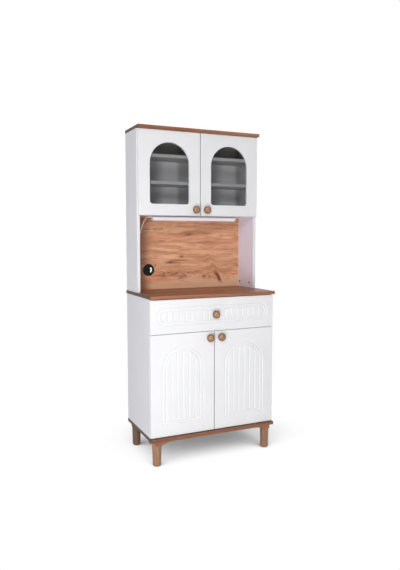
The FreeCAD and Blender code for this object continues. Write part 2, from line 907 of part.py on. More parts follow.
def make_knob(label, x, y, z):
    """A turned knob: a straight neck, a cove and a domed face."""
    body = new_body(label)
    profile = new_sketch(body, "XY_Plane", "knob_profile")
    cove = d.knob_radius - d.knob_neck_radius
    dome_start = d.knob_neck_length + cove + d.knob_rim
    rise = d.knob_projection - dome_start
    dome = (d.knob_radius * d.knob_radius + rise * rise) / (2 * rise)
    outline(profile,
            [(zero, zero), (zero, -d.knob_projection), (d.knob_radius, -dome_start),
             (d.knob_radius, -d.knob_neck_length - cove),
             (d.knob_neck_radius, -d.knob_neck_length), (d.knob_neck_radius, zero)],
            {1: ((zero, dome - d.knob_projection), 1),
             3: ((d.knob_radius, -d.knob_neck_length), -1)})
    turned(body, profile)
    keep(label, place(body, x, y, z))


for side, hand in ((-1, "left"), (1, "right")):
    make_base_door("base_door_%s" % hand, side)
    make_hutch_door("hutch_door_%s" % hand, side)
    make_pane("window_pane_%s" % hand, side)
    make_bead("pane_bead_%s" % hand, side)
    knob_x = side * (door_inner + d.knob_inset)
    make_knob("base_knob_%s" % hand, knob_x, base_face, base_door_top - d.knob_inset)
    make_knob("hutch_knob_%s" % hand, knob_x, hutch_face, hutch_door_bottom + d.knob_inset)
make_drawer_front()
make_knob("drawer_knob", zero, base_face, drawer_face_bottom + d.drawer_face_height / 2)


# Concealed hinges: a cup with its pin in the door, and an arm on the side panel
def hinge_levels(bottom, height):
    return [bottom + d.hinge_from_end, bottom + height - d.hinge_from_end]


def make_cups(label, side, outer, door_back, levels):
    x = side * (outer - d.cup_inset)
    pieces = []
    for z in levels:
        shell = rod(d.cup_radius, d.cup_depth, x, door_back - d.cup_depth, z, ALONG_Y, "cup")
        wings = box(x - d.cup_flange_width / 2, x + d.cup_flange_width / 2,
                    door_back, door_back + d.cup_flange,
                    z - d.cup_flange_height / 2, z + d.cup_flange_height / 2, "wings")
        rim = rod(d.cup_radius + d.cup_flange, d.cup_flange, x, door_back, z, ALONG_Y, "rim")
        hollow = rod(d.cup_radius - d.cup_steel, d.cup_depth + d.cup_flange, x,
                     door_back - d.cup_depth + d.cup_steel, z, ALONG_Y, "hollow")
        pin_y = door_back - d.cup_pin_depth
        pin_hole = rod(d.cup_pin_radius, d.cup_radius * 2, x, pin_y, z - d.cup_radius,
                       name="pin_hole")
        pin = rod(d.cup_pin_radius, (d.cup_radius - d.cup_bore_play) * 2, x, pin_y,
                  z - d.cup_radius + d.cup_bore_play, name="hinge_pin")
        pieces.append(cut(joined([shell, wings, rim]), [hollow, pin_hole], "hinge_cup"))
        pieces.append(pin)
    keep(label, group(pieces))


def make_arm(side, outer, edge, door_back, z):
    """An arm and its plate on the panel, with a tip that ends at the pin in the cup."""
    cup_x = outer - d.cup_inset
    arm_x1 = inner_face - d.plate_steel
    plate = sided_box(side, arm_x1, inner_face, edge + d.plate_setback,
                      edge + d.plate_setback + d.plate_width,
                      z - d.plate_height / 2, z + d.plate_height / 2, "plate")
    arm = sided_box(side, arm_x1 - d.arm_thickness, arm_x1, edge + d.arm_setback,
                    edge + d.arm_setback + d.arm_length,
                    z - d.arm_height / 2, z + d.arm_height / 2, "arm")
    tip_end = door_back - d.cup_pin_depth + d.cup_pin_radius + d.cup_pin_play
    tip = sided_box(side, cup_x - d.arm_tip / 2, cup_x + d.arm_tip / 2, tip_end,
                    edge + d.arm_setback, z - d.arm_tip, z + d.arm_tip, "tip")
    return joined([plate, arm, tip], "hinge_arm")


arms = []
for side, hand in ((-1, "left"), (1, "right")):
    for name, outer, edge, door_back, bottom, height in (
            ("base", base_door_outer, base_edge, base_door_back, base_door_bottom,
             base_door_height),
            ("hutch", hutch_door_outer, hutch_edge, hutch_door_back, hutch_door_bottom,
             hutch_door_height)):
        levels = hinge_levels(bottom, height)
        make_cups("hinge_cups_%s_%s" % (name, hand), side, outer, door_back, levels)
        arms += [make_arm(side, outer, edge, door_back, z) for z in levels]
keep("hinge_arms", group(arms))

# Drawer box and its three-part runners
box_half = inner_face - d.runner_space
box_back = base_door_back + d.drawer_depth
box_bottom = divider_middle + d.panel / 2 + d.drawer_lift
box_top = box_bottom + d.drawer_height
floor_low = box_bottom + d.drawer_bottom_lift
floor_high = floor_low + d.drawer_bottom


def floor_groove(x0, x1, y0, y1):
    return box(x0, x1, y0, y1, floor_low - d.groove_play, floor_high + d.groove_play, "groove")


for side, hand in ((-1, "left"), (1, "right")):
    wall = sided_box(side, box_half - d.drawer_wall, box_half, base_door_back, box_back,
                     box_bottom, box_top, "wall")
    start = box_half - d.drawer_wall - d.overrun
    end = box_half - d.drawer_wall + d.groove_into
    groove = floor_groove(start, end, base_door_back - d.overrun, box_back + d.overrun)
    if side < 0:
        groove = floor_groove(-end, -start, base_door_back - d.overrun, box_back + d.overrun)
    keep("drawer_side_%s" % hand, cut(wall, [groove]))

inner_half = box_half - d.drawer_wall
back_wall = box(-inner_half, inner_half, box_back - d.drawer_wall, box_back,
                box_bottom, box_top, "back_wall")
keep("drawer_back", cut(back_wall, [
    floor_groove(-inner_half - d.overrun, inner_half + d.overrun,
                 box_back - d.drawer_wall - d.overrun,
                 box_back - d.drawer_wall + d.groove_into)]))
floor_half = inner_half + d.groove_into - d.groove_play
keep("drawer_bottom", box(-floor_half, floor_half, base_door_back,
                          box_back - d.drawer_wall + d.groove_into - d.groove_play,
                          floor_low, floor_high))

runner_z = box_bottom + d.drawer_height / 2
runner_y0 = base_edge + d.runner_setback
runner_y1 = runner_y0 + d.drawer_depth - d.runner_setback * 2


def channel(side, web, mouth, half_height, name):
    """A steel channel from its web to the ends of its lips, given from the panel inwards."""
    x_web = inner_face - web
    x_mouth = inner_face - mouth
    low, high = (x_mouth, x_web) if mouth.value > web.value else (x_web, x_mouth)
    outside = sided_box(side, low, high, runner_y0, runner_y1,
                        runner_z - half_height, runner_z + half_height)
    room = half_height - d.runner_steel
    if mouth.value > web.value:
        low, high = x_mouth - d.overrun, x_web - d.runner_steel
    else:
        low, high = x_web + d.runner_steel, x_mouth + d.overrun
    inside = sided_box(side, low, high, runner_y0 - d.overrun, runner_y1 + d.overrun,
                       runner_z - room, runner_z + room)
    return cut(outside, [inside], name)


step = d.runner_steel + d.runner_play
outer_half = d.runner_height / 2
middle_half = outer_half - step
inner_member_half = middle_half - step
for label, web, mouth, half in (
        ("runner_outer", zero, d.runner_lip, outer_half),
        ("runner_middle", step, d.runner_lip + step, middle_half),
        ("runner_inner", d.runner_space, step * 2, inner_member_half)):
    keep(label, group([channel(side, web, mouth, half, label) for side in (-1, 1)]))

# Lamp
lamp_back = lamp_front + d.lamp_width
lamp_half = d.lamp_length / 2
tube_half = lamp_half - d.lamp_cap
housing_bottom = lamp_top - d.lamp_housing
keep("lamp_housing", box(-tube_half, tube_half, lamp_front, lamp_back, housing_bottom, lamp_top))


def lens_profile(drawing, shrink, top):
    """A flat-topped half round, as wide as the lamp."""
    half = d.lamp_width / 2 - shrink
    corner = housing_bottom - d.lamp_lens + d.lamp_width / 2
    outline(drawing, [(-half, top), (-half, corner), (half, corner), (half, top)],
            {1: ((zero, corner), 1)})


def make_lens():
    """A hollow opal lens under the housing."""
    body = new_body("lamp_diffuser")
    shape = new_sketch(body, "YZ_Plane", "lens_outline")
    lens_profile(shape, zero, housing_bottom)
    solid = pad(body, shape, tube_half * 2)
    hollow = new_sketch(body, "YZ_Plane", "lens_hollow")
    lens_profile(hollow, d.lamp_lens_wall, housing_bottom - d.lamp_lens_wall)
    pocket(body, hollow, tube_half * 2, backwards=True, name="lens_room")
    keep("lamp_diffuser", place(body, -tube_half, (lamp_front + lamp_back) / 2, zero))


def make_lamp_cap(side):
    body = new_body("lamp_cap")
    shape = new_sketch(body, "YZ_Plane", "cap_outline")
    half = d.lamp_width / 2
    corner = housing_bottom - d.lamp_lens + half
    outline(shape, [(-half, lamp_top), (-half, corner), (half, corner), (half, lamp_top)],
            {1: ((zero, corner), 1)})
    pad(body, shape, d.lamp_cap)
    x = tube_half if side > 0 else -lamp_half
    return place(body, x, (lamp_front + lamp_back) / 2, zero)


def make_clip(x):
    """A clip under the hutch floor that grips the housing on both sides."""
    body = new_body("lamp_clip")
    shape = new_sketch(body, "YZ_Plane", "clip_outline")
    inside = d.lamp_width / 2 + d.clip_play
    outside = inside + d.clip_steel
    tip = lamp_top - d.clip_grip
    roof = lamp_top + d.clip_play
    outline(shape, [(-outside, hutch_floor_bottom), (-outside, tip), (-inside, tip),
                    (-inside, roof), (inside, roof), (inside, tip), (outside, tip),
                    (outside, hutch_floor_bottom)])
    pad(body, shape, d.clip_width)
    return place(body, x - d.clip_width / 2, (lamp_front + lamp_back) / 2, zero)


make_lens()
keep("lamp_end_caps", group([make_lamp_cap(-1), make_lamp_cap(1)]))
keep("lamp_clips", group([make_clip(-d.clip_spacing / 2), make_clip(d.clip_spacing / 2)]))


# Cable grommet: a flanged sleeve through the niche back, and a cap that turns in it
def make_grommet_ring():
    body = new_body("grommet_ring")
    profile = new_sketch(body, "XY_Plane", "ring_profile")
    sleeve = d.grommet_hole - d.grommet_play
    bore = sleeve - d.grommet_wall
    ledge = bore - d.grommet_wall
    front = -d.grommet_flange
    seat = d.grommet_seat
    outline(profile,
            [(bore, front), (d.grommet_flange_radius, front), (d.grommet_flange_radius, zero),
             (sleeve, zero), (sleeve, d.grommet_sleeve), (ledge, d.grommet_sleeve),
             (ledge, seat), (bore, seat)])
    turned(body, profile)
    keep("grommet_ring", place(body, grommet_x, back_face, grommet_z))


def make_grommet_cap():
    """A disc with a D-shaped slot along its rim."""
    body = new_body("grommet_cap")
    radius = d.grommet_hole - d.grommet_play * 2 - d.grommet_wall
    disc = new_sketch(body, "XZ_Plane", "cap_outline", -d.grommet_seat + d.grommet_play)
    ring(disc, radius, zero, zero)
    pad(body, disc, d.grommet_flange + d.grommet_seat - d.grommet_play)
    slot = new_sketch(body, "XZ_Plane", "cap_slot", -d.grommet_seat + d.grommet_play)
    reach = radius - d.cap_rim
    half = d.cap_slot_half_height
    far = (reach * reach - half * half).root()
    outline(slot, [(d.cap_slot_start, -half), (far, -half), (far, half),
                   (d.cap_slot_start, half)],
            {1: ((zero, zero), 1)})
    pocket(body, slot, backwards=True, name="cable_slot")
    keep("grommet_cap", place(body, grommet_x, back_face, grommet_z))


make_grommet_ring()
make_grommet_cap()

# Lamp cord: out of the lamp's left end, down into the niche's rear corner, through the small hole
# and down behind the cabinet to its plug. The points are distances from the lamp's left end cap,
# the middle of the lamp and the lamp's top.
CORD_POINTS = [
    (0, 0, -6), (-14, 0, -6), (-28, 1, -8), (-40, 1, -16), (-49, 2, -31), (-57, 3, -50),
    (-65, 3, -72), (-72, 5, -98), (-77, 12, -125), (-80, 29, -150), (-81, 52, -170),
    (-80, 79, -183), (-80, 105, -189), (-80, 128, -193), (-80, 146, -204), (-80, 156, -225),
    (-80, 159, -254), (-79, 161, -298), (-80, 160, -352), (-82, 161, -408), (-83, 159, -466),
    (-80, 160, -524), (-79, 162, -582), (-78, 160, -640), (-80, 159, -698), (-82, 160, -756),
    (-80, 161, -812), (-79, 160, -866), (-80, 160, -908), (-80, 160, -940),
]
CORD_STARTS = Vector(-lamp_half.value, (lamp_front.value + lamp_back.value) / 2, lamp_top.value)
cord_route = [CORD_STARTS + Vector(*point) for point in CORD_POINTS]


def cord_path(points):
    """Straight runs joined by arcs that touch both, each as large as its runs allow."""
    edges = []
    here = points[0]
    radii = []
    for before, corner, after in zip(points, points[1:], points[2:]):
        back = before - corner
        ahead = after - corner
        shorter = min(back.Length, ahead.Length)
        turn = math.pi - back.getAngle(ahead)
        back.normalize()
        ahead.normalize()
        reach = CORD_ARC_SHARE * shorter
        radius = reach / math.tan(turn / 2)
        radii.append(radius)
        start = corner + back * reach
        end = corner + ahead * reach
        towards = back + ahead
        towards.normalize()
        to_centre = math.hypot(reach, radius)
        middle = corner + towards * (to_centre - radius)
        edges.append(Part.LineSegment(here, start).toShape())
        edges.append(Part.Arc(start, middle, end).toShape())
        here = end
    edges.append(Part.LineSegment(here, points[-1]).toShape())
    print("cord: %.0f mm long, least radius %.1f mm, least turn radius in diameters %.1f" % (
        sum(edge.Length for edge in edges), min(radii), min(radii) / (2 * d.cord_radius.value)))
    return Part.Wire(edges)


path = cord_path(cord_route)
heading = cord_route[1] - cord_route[0]
section = Part.Wire(Part.Circle(cord_route[0], heading, d.cord_radius.value).toShape())
tube = path.makePipeShell([section], True, False)
cord = doc.addObject("Part::Feature", "cord_tube")
cord.Shape = tube
expected = math.pi * d.cord_radius.value ** 2 * path.Length
print("cord: volume %.0f, section times length %.0f" % (abs(tube.Volume), expected))
keep("lamp_cord", cord)


def make_plug():
    """A moulded plug with a tapered neck at the cord and two round pins below."""
    body = new_body("lamp_plug")
    profile = new_sketch(body, "XZ_Plane", "plug_profile")
    shoulder = -d.plug_neck_length
    outline(profile,
            [(zero, zero), (zero, shoulder - d.plug_length),
             (d.plug_radius, shoulder - d.plug_length), (d.plug_radius, shoulder),
             (d.plug_neck_radius, zero)])
    turned(body, profile)
    pins = new_sketch(body, "XY_Plane", "plug_pins", shoulder - d.plug_length)
    for side in (-1, 1):
        ring(pins, d.plug_pin_radius, side * d.plug_pin_spacing / 2, zero)
    prongs = pad(body, pins, d.plug_pin_length, "prongs")
    prongs.Reversed = True
    doc.recompute()
    place(body, cord_route[-1].x, cord_route[-1].y, cord_route[-1].z)
    keep("lamp_plug", body)


make_plug()

# Every sub-part is checked before any file is written
doc.recompute()
faults = [thing.Name for thing in doc.Objects
          if "Invalid" in thing.State or "Error" in thing.State]
for label, thing in nodes.items():
    shape = thing.Shape
    if shape.isNull() or not shape.isValid() or not shape.Solids:
        faults.append(label)
if faults:
    raise RuntimeError("failed: %s" % ", ".join(faults))

os.makedirs("parts", exist_ok=True)
for label, thing in nodes.items():
    thing.Shape.exportStep("parts/%s.step" % label)
print("%d sub-parts" % len(nodes))
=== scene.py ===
import json
import math

import bpy
from mathutils import Euler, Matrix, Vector


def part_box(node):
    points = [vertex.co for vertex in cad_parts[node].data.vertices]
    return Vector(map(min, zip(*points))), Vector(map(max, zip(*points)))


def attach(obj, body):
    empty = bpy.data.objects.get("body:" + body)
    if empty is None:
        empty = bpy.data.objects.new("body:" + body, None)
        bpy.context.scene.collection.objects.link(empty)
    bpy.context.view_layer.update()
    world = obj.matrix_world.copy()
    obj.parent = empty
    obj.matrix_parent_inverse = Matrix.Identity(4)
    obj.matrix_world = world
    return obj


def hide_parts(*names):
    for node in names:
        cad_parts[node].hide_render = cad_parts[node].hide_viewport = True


# A coffee bar cabinet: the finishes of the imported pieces, the lamp's cord and its strain relief,
# rounded board edges, a tongue in the cable grommet, the floor, the light and the camera.
# Lengths are in metres and colours in 0-255 sRGB.

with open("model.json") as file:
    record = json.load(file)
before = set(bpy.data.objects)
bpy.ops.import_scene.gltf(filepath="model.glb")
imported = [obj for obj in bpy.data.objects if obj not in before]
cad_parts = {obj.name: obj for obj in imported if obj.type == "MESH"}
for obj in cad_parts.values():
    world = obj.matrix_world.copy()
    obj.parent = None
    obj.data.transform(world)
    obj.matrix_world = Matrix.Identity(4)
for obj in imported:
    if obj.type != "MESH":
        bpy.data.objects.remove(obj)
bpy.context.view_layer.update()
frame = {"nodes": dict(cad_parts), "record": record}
nodes = frame["nodes"]

MM = 0.001

# Camera, at the photograph's place and angle, with its lens and sensor in mm
CAMERA_PLACE = (-1.4630, -3.1700, 1.3241)
CAMERA_YAW = math.radians(24.71)
CAMERA_PITCH = math.radians(4.89)
LENS = 35.72
SENSOR_WIDTH = 36


def make_camera():
    data = bpy.data.cameras.new("camera")
    data.lens = LENS
    data.sensor_width = SENSOR_WIDTH
    camera = bpy.data.objects.new("camera", data)
    camera.location = CAMERA_PLACE
    camera.rotation_euler = Euler((math.pi / 2 - CAMERA_PITCH, 0, -CAMERA_YAW))
    bpy.context.scene.collection.objects.link(camera)
    bpy.context.scene.camera = camera


make_camera()


# Colours and node trees
def srgb(red, green, blue):
    """A 0-255 sRGB colour in the linear values that shaders take."""
    def linear(value):
        share = value / 255
        return share / 12.92 if share <= 0.04045 else ((share + 0.055) / 1.055) ** 2.4
    return (linear(red), linear(green), linear(blue), 1)


def dimmed(colour, share):
    return tuple(value * share for value in colour)


def feed(tree, socket, value):
    """Links a node's output to a socket, or sets the socket to a number or colour."""
    if isinstance(value, bpy.types.NodeSocket):
        tree.links.new(value, socket)
    else:
        socket.default_value = value


def add_maths(tree, operation, *values):
    node = tree.nodes.new("ShaderNodeMath")
    node.operation = operation
    for socket, value in zip(node.inputs, values):
        feed(tree, socket, value)
    return node.outputs[0]


def add_ramp(tree, value, stops):
    """Colours along a value: stops are (place, sRGB colour)."""
    node = tree.nodes.new("ShaderNodeValToRGB")
    feed(tree, node.inputs[0], value)
    elements = node.color_ramp.elements
    while len(elements) < len(stops):
        elements.new(1.0)
    for element, (place, colour) in zip(elements, stops):
        element.position = place
        element.color = srgb(*colour)
    return node.outputs[0]


# Most of a noise pattern lies between these
NOISE_LOW = 0.3
NOISE_HIGH = 0.7


class Finish:
    """A procedural material, with short calls for the nodes used below."""

    def __init__(self, name, roughness, metallic=0.0):
        self.material = bpy.data.materials.new(name)
        self.material.use_nodes = True
        self.tree = self.material.node_tree
        self.shader = self.tree.nodes["Principled BSDF"]
        self.uniform("Roughness", roughness)
        self.uniform("Metallic", metallic)
        places = self.tree.nodes.new("ShaderNodeTexCoord").outputs
        self.point = places["Object"]
        self.share_of_piece = places["Generated"]

    def uniform(self, name, value):
        """Sets what is the same all over the surface."""
        self.shader.inputs[name].default_value = value

    def plus(self, first, second):
        return add_maths(self.tree, "ADD", first, second)

    def minus(self, first, second):
        return add_maths(self.tree, "SUBTRACT", first, second)

    def times(self, first, second):
        return add_maths(self.tree, "MULTIPLY", first, second)

    def size(self, value):
        return add_maths(self.tree, "ABSOLUTE", value)

    def over(self, value, limit):
        """1 where a value is over the limit, else 0."""
        return add_maths(self.tree, "GREATER_THAN", value, limit)

    def under(self, value, limit):
        """1 where a value is under the limit, else 0."""
        return add_maths(self.tree, "LESS_THAN", value, limit)

    def axes(self, vector):
        node = self.tree.nodes.new("ShaderNodeSeparateXYZ")
        feed(self.tree, node.inputs[0], vector)
        return node.outputs

    def vector(self, x, y, z):
        node = self.tree.nodes.new("ShaderNodeCombineXYZ")
        for socket, value in zip(node.inputs, (x, y, z)):
            feed(self.tree, socket, value)
        return node.outputs[0]

    def stretched(self, vector, scale):
        node = self.tree.nodes.new("ShaderNodeMapping")
        feed(self.tree, node.inputs["Vector"], vector)
        node.inputs["Scale"].default_value = scale
        return node.outputs[0]

    def noise(self, vector, scale=1.0, detail=2.0, roughness=0.5):
        node = self.tree.nodes.new("ShaderNodeTexNoise")
        feed(self.tree, node.inputs["Vector"], vector)
        node.inputs["Scale"].default_value = scale
        node.inputs["Detail"].default_value = detail
        node.inputs["Roughness"].default_value = roughness
        return node.outputs[0]

    def spread(self, value, low, high, to_low=0.0, to_high=1.0):
        """Maps a range of values smoothly onto another."""
        node = self.tree.nodes.new("ShaderNodeMapRange")
        node.interpolation_type = "SMOOTHSTEP"
        feed(self.tree, node.inputs["Value"], value)
        for name, number in (("From Min", low), ("From Max", high),
                             ("To Min", to_low), ("To Max", to_high)):
            node.inputs[name].default_value = number
        return node.outputs[0]

    def ramp(self, value, stops):
        return add_ramp(self.tree, value, stops)

    def mix(self, share, first, second, blend="MIX"):
        node = self.tree.nodes.new("ShaderNodeMix")
        node.data_type = "RGBA"
        node.blend_type = blend
        # The mix node has sockets of the same names for each data type: 6, 7 and output 2 are
        # its colours.
        feed(self.tree, node.inputs[0], share)
        feed(self.tree, node.inputs[6], first)
        feed(self.tree, node.inputs[7], second)
        return node.outputs[2]

    def tint(self, base, colour, share, blend="MIX"):
        """A share of an sRGB colour over the base."""
        return self.mix(share, base, srgb(*colour), blend)

    def colour(self, value):
        feed(self.tree, self.shader.inputs["Base Color"], value)

    def roughness(self, pattern, smooth, rough, low=NOISE_LOW, high=NOISE_HIGH):
        """From smooth, where the pattern is low, to rough, where it is high."""
        feed(self.tree, self.shader.inputs["Roughness"],
             self.spread(pattern, low, high, smooth, rough))

    def bump(self, height, depth, strength):
        node = self.tree.nodes.new("ShaderNodeBump")
        node.inputs["Strength"].default_value = strength
        node.inputs["Distance"].default_value = depth
        feed(self.tree, node.inputs["Height"], height)
        feed(self.tree, self.shader.inputs["Normal"], node.outputs[0])

    def facing(self):
        """The surface's direction, along the frame's axes."""
        node = self.tree.nodes.new("ShaderNodeNewGeometry")
        return self.axes(node.outputs["True Normal"])


# A face points along an axis from this share of its direction on
FACES = 0.5

# Foiled boards
WHITE = (243, 243, 249)
FRONT_WHITE = (247, 247, 249)
CLOUD_SCALE = 3.0
CLOUD_DETAIL = 3.0
CLOUD_SHADE = 0.985
CLOUD_SMOOTHER = 0.04
CLOUD_ROUGHER = 0.05
PEEL_SCALE = 900.0
PEEL_DEPTH = 0.00006
PEEL_STRENGTH = 0.35


def foil_over_board(finish, colour, roughness):
    """Smooth foil over board: faint cloudiness and a fine orange peel. Gives its colour."""
    cloud = finish.noise(finish.point, CLOUD_SCALE, CLOUD_DETAIL)
    finish.roughness(cloud, roughness - CLOUD_SMOOTHER, roughness + CLOUD_ROUGHER, 0.2, 0.8)
    finish.bump(finish.noise(finish.point, PEEL_SCALE), PEEL_DEPTH, PEEL_STRENGTH)
    return finish.mix(finish.spread(cloud, NOISE_LOW, NOISE_HIGH),
                      srgb(*dimmed(colour, CLOUD_SHADE)), srgb(*colour))


def foil(name, colour, roughness):
    finish = Finish(name, roughness)
    finish.colour(foil_over_board(finish, colour, roughness))
    return finish.material


# Walls of the routed lines, one with painted shade and one with a painted highlight: how far
# they turn to the side, where they start and are full
WALL_START = 0.15
WALL_FULL = 0.6
WALL_END = 0.97
PAINTED_WALL_SHADE = (96, 97, 106)
PAINTED_WALL_SHADE_SHARE = 0.38
PAINTED_WALL_HIGHLIGHT = (255, 255, 255)
PAINTED_WALL_HIGHLIGHT_SHARE = 0.75
# Edges where two doors meet, with painted shade for the gap between them: how far from the
# middle, how far they turn to the side
MEETING_EDGE = 0.004
MEETING_TURN = 0.3
MEETING_PAINTED_SHADE = (84, 85, 92)
MEETING_PAINTED_SHADE_SHARE = 0.4


def routed_foil(name, colour, roughness):
    """The fronts' foil. In routed lines one wall has painted shade and the other a painted
    highlight. The edges where two doors meet have painted shade too."""
    finish = Finish(name, roughness)
    white = foil_over_board(finish, colour, roughness)
    turn = finish.facing()[0]
    wall = finish.under(finish.size(turn), WALL_END)
    # painted shade on the walls facing right, painted highlight on those facing left
    wall_shade = finish.spread(turn, WALL_START, WALL_FULL, 0.0, PAINTED_WALL_SHADE_SHARE)
    white = finish.tint(white, PAINTED_WALL_SHADE, finish.times(wall, wall_shade))
    wall_highlight = finish.spread(turn, -WALL_FULL, -WALL_START, PAINTED_WALL_HIGHLIGHT_SHARE, 0.0)
    white = finish.tint(white, PAINTED_WALL_HIGHLIGHT, finish.times(wall, wall_highlight))
    # painted shade on the door edges at the gap where two doors meet
    near_middle = finish.under(finish.size(finish.axes(finish.point)[0]), MEETING_EDGE)
    meeting = finish.times(near_middle, finish.over(finish.size(turn), MEETING_TURN))
    finish.colour(finish.tint(white, MEETING_PAINTED_SHADE, finish.times(meeting, MEETING_PAINTED_SHADE_SHARE)))
    return finish.material


# The hutch's sides: where their inner faces lie, and the painted shade and light tint there
INNER_FACE = 0.39
INNER_TURN = 0.9
PAINTED_SHADE_BEHIND_GLASS = (192, 192, 194)
PAINTED_TINT_BESIDE_NICHE = (238, 238, 255)
HUTCH_SIDE_ROUGHNESS = 0.46


def hutch_side():
    """White foil, with painted shade inside behind the glass doors and a cooler painted tint of
    the light beside the niche.
    """
    finish = Finish("hutch_side_foil", HUTCH_SIDE_ROUGHNESS)
    white = foil_over_board(finish, WHITE, HUTCH_SIDE_ROUGHNESS)
    x, _, z = finish.axes(finish.point)
    inner = finish.times(finish.over(finish.size(finish.facing()[0]), INNER_TURN),
                         finish.under(finish.size(x), INNER_FACE))
    floor_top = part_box("hutch_floor")[1].z
    above = finish.times(inner, finish.over(z, floor_top))
    below = finish.times(inner, finish.under(z, floor_top))
    # painted shade behind the glass, and a cool painted tint of the light beside the niche
    white = finish.tint(white, PAINTED_SHADE_BEHIND_GLASS, above)
    finish.colour(finish.tint(white, PAINTED_TINT_BESIDE_NICHE, below))
    return finish.material


# Moulded plastic and metal
PLASTIC_CLOUD_SCALE = 40.0
PLASTIC_LIGHTER = 1.03
PLASTIC_LIGHTER_BY = 2
SPARK_SCALE = 1400.0
SPARK_DEPTH = 0.00005
SPARK_STRENGTH = 0.4


def moulded(name, colour, roughness, grain=SPARK_SCALE):
    """Moulded plastic with a fine spark texture."""
    finish = Finish(name, roughness)
    cloud = finish.noise(finish.point, PLASTIC_CLOUD_SCALE)
    lighter = tuple(min(255, value * PLASTIC_LIGHTER + PLASTIC_LIGHTER_BY) for value in colour)
    finish.colour(finish.mix(cloud, srgb(*colour), srgb(*lighter)))
    finish.bump(finish.noise(finish.point, grain), SPARK_DEPTH, SPARK_STRENGTH)
    return finish.material


# Height and colour of the painted shade line along the lamp's top, under the hutch floor
SHADE_LINE_HEIGHT = 0.0042
PAINTED_SHADE_LINE = (104, 102, 108)


def lamp_body(top):
    """White moulded lamp body with painted shade in a thin line along its top."""
    finish = Finish("lamp_body", 0.38)
    cloud = finish.noise(finish.point, PLASTIC_CLOUD_SCALE)
    white = finish.mix(cloud, srgb(232, 230, 236), srgb(238, 236, 242))
    # painted shade line along the top
    shade_line = finish.over(finish.axes(finish.point)[2], top - SHADE_LINE_HEIGHT)
    finish.colour(finish.tint(white, PAINTED_SHADE_LINE, shade_line))
    finish.bump(finish.noise(finish.point, SPARK_SCALE), SPARK_DEPTH, SPARK_STRENGTH)
    return finish.material


OPAL_GLOW = (240, 246, 255)
OPAL_STRENGTH = 0.2


def opal():
    """The lamp's lit diffuser."""
    finish = Finish("opal_diffuser", 0.35)
    cloud = finish.noise(finish.point, 30.0)
    finish.colour(finish.mix(cloud, srgb(238, 236, 242), srgb(242, 240, 246)))
    finish.uniform("Emission Color", srgb(*OPAL_GLOW))
    finish.uniform("Emission Strength", OPAL_STRENGTH)
    return finish.material


GLASS_ALPHA = 0.1
GLASS_IOR = 1.5


def smoked_glass():
    finish = Finish("smoked_glass", 0.04)
    cloud = finish.noise(finish.point, 2.0, 1.0)
    finish.colour(finish.mix(cloud, srgb(34, 34, 36), srgb(42, 42, 44)))
    finish.uniform("Alpha", GLASS_ALPHA)
    finish.uniform("IOR", GLASS_IOR)
    return finish.material


# Drawn lines in metal: how many to the metre across them and along them, their colour, how much
# smoother and rougher they make it, and their bump
LINES_ACROSS = 1500.0
LINES_ALONG = 30.0
LINE_SHADE = 0.86
LINE_SMOOTHER = 0.06
LINE_ROUGHER = 0.08
LINE_DEPTH = 0.00003
LINE_STRENGTH = 0.3


def metal(name, colour, roughness, along):
    """Plated steel with drawn lines along one axis."""
    finish = Finish(name, roughness, 1.0)
    scale = [LINES_ACROSS, LINES_ACROSS, LINES_ACROSS]
    scale["xyz".index(along)] = LINES_ALONG
    lines = finish.noise(finish.stretched(finish.point, scale), 1.0, 3.0)
    finish.colour(finish.mix(lines, srgb(*dimmed(colour, LINE_SHADE)), srgb(*colour)))
    finish.roughness(lines, roughness - LINE_SMOOTHER, roughness + LINE_ROUGHER)
    finish.bump(lines, LINE_DEPTH, LINE_STRENGTH)
    return finish.material


# Wood grain: the slow sway of its lines, how many fine fibres go to a grain line, and the layers
# as (how many to the metre along, detail, roughness, share)
SWAY_ALONG = 1.7
SWAY_ACROSS = 8.0
SWAY = 0.03
FIBRES_TO_LINE = 6
BROAD_LAYER = (0.9, 3.0, 0.55, 0.46)
LINE_LAYER = (3.0, 4.0, 0.6, 0.36)
FINE_LAYER = (22.0, 2.0, 0.5, 0.18)
GRAIN_LOW = 0.32
GRAIN_HIGH = 0.68
GRAIN_DEPTH = 0.00008
OILED_GRAIN_DEPTH = 0.0001


def fibres(finish, along, across, depth, bands, lines, short=1.0):
    """How dark the wood is, from 0 to 1, and its fine fibres alone. Broad bands, grain lines and
    fine fibres run along one axis, and are shorter where short is larger. Bands and lines are
    how many go to the metre."""
    sway = finish.noise(finish.vector(finish.times(along, SWAY_ALONG),
                                      finish.times(across, SWAY_ACROSS),
                                      finish.times(depth, SWAY_ACROSS)))
    across = finish.plus(across, finish.times(sway, SWAY))
    total = 0.0
    for pitch, (stretch, detail, roughness, share) in (
            (bands, BROAD_LAYER), (lines, LINE_LAYER), (lines * FIBRES_TO_LINE, FINE_LAYER)):
        place = finish.vector(finish.times(along, stretch * short), finish.times(across, pitch),
                              finish.times(depth, pitch))
        layer = finish.noise(place, 1.0, detail, roughness)
        total = finish.plus(total, finish.times(layer, share))
    return finish.spread(total, GRAIN_LOW, GRAIN_HIGH), layer


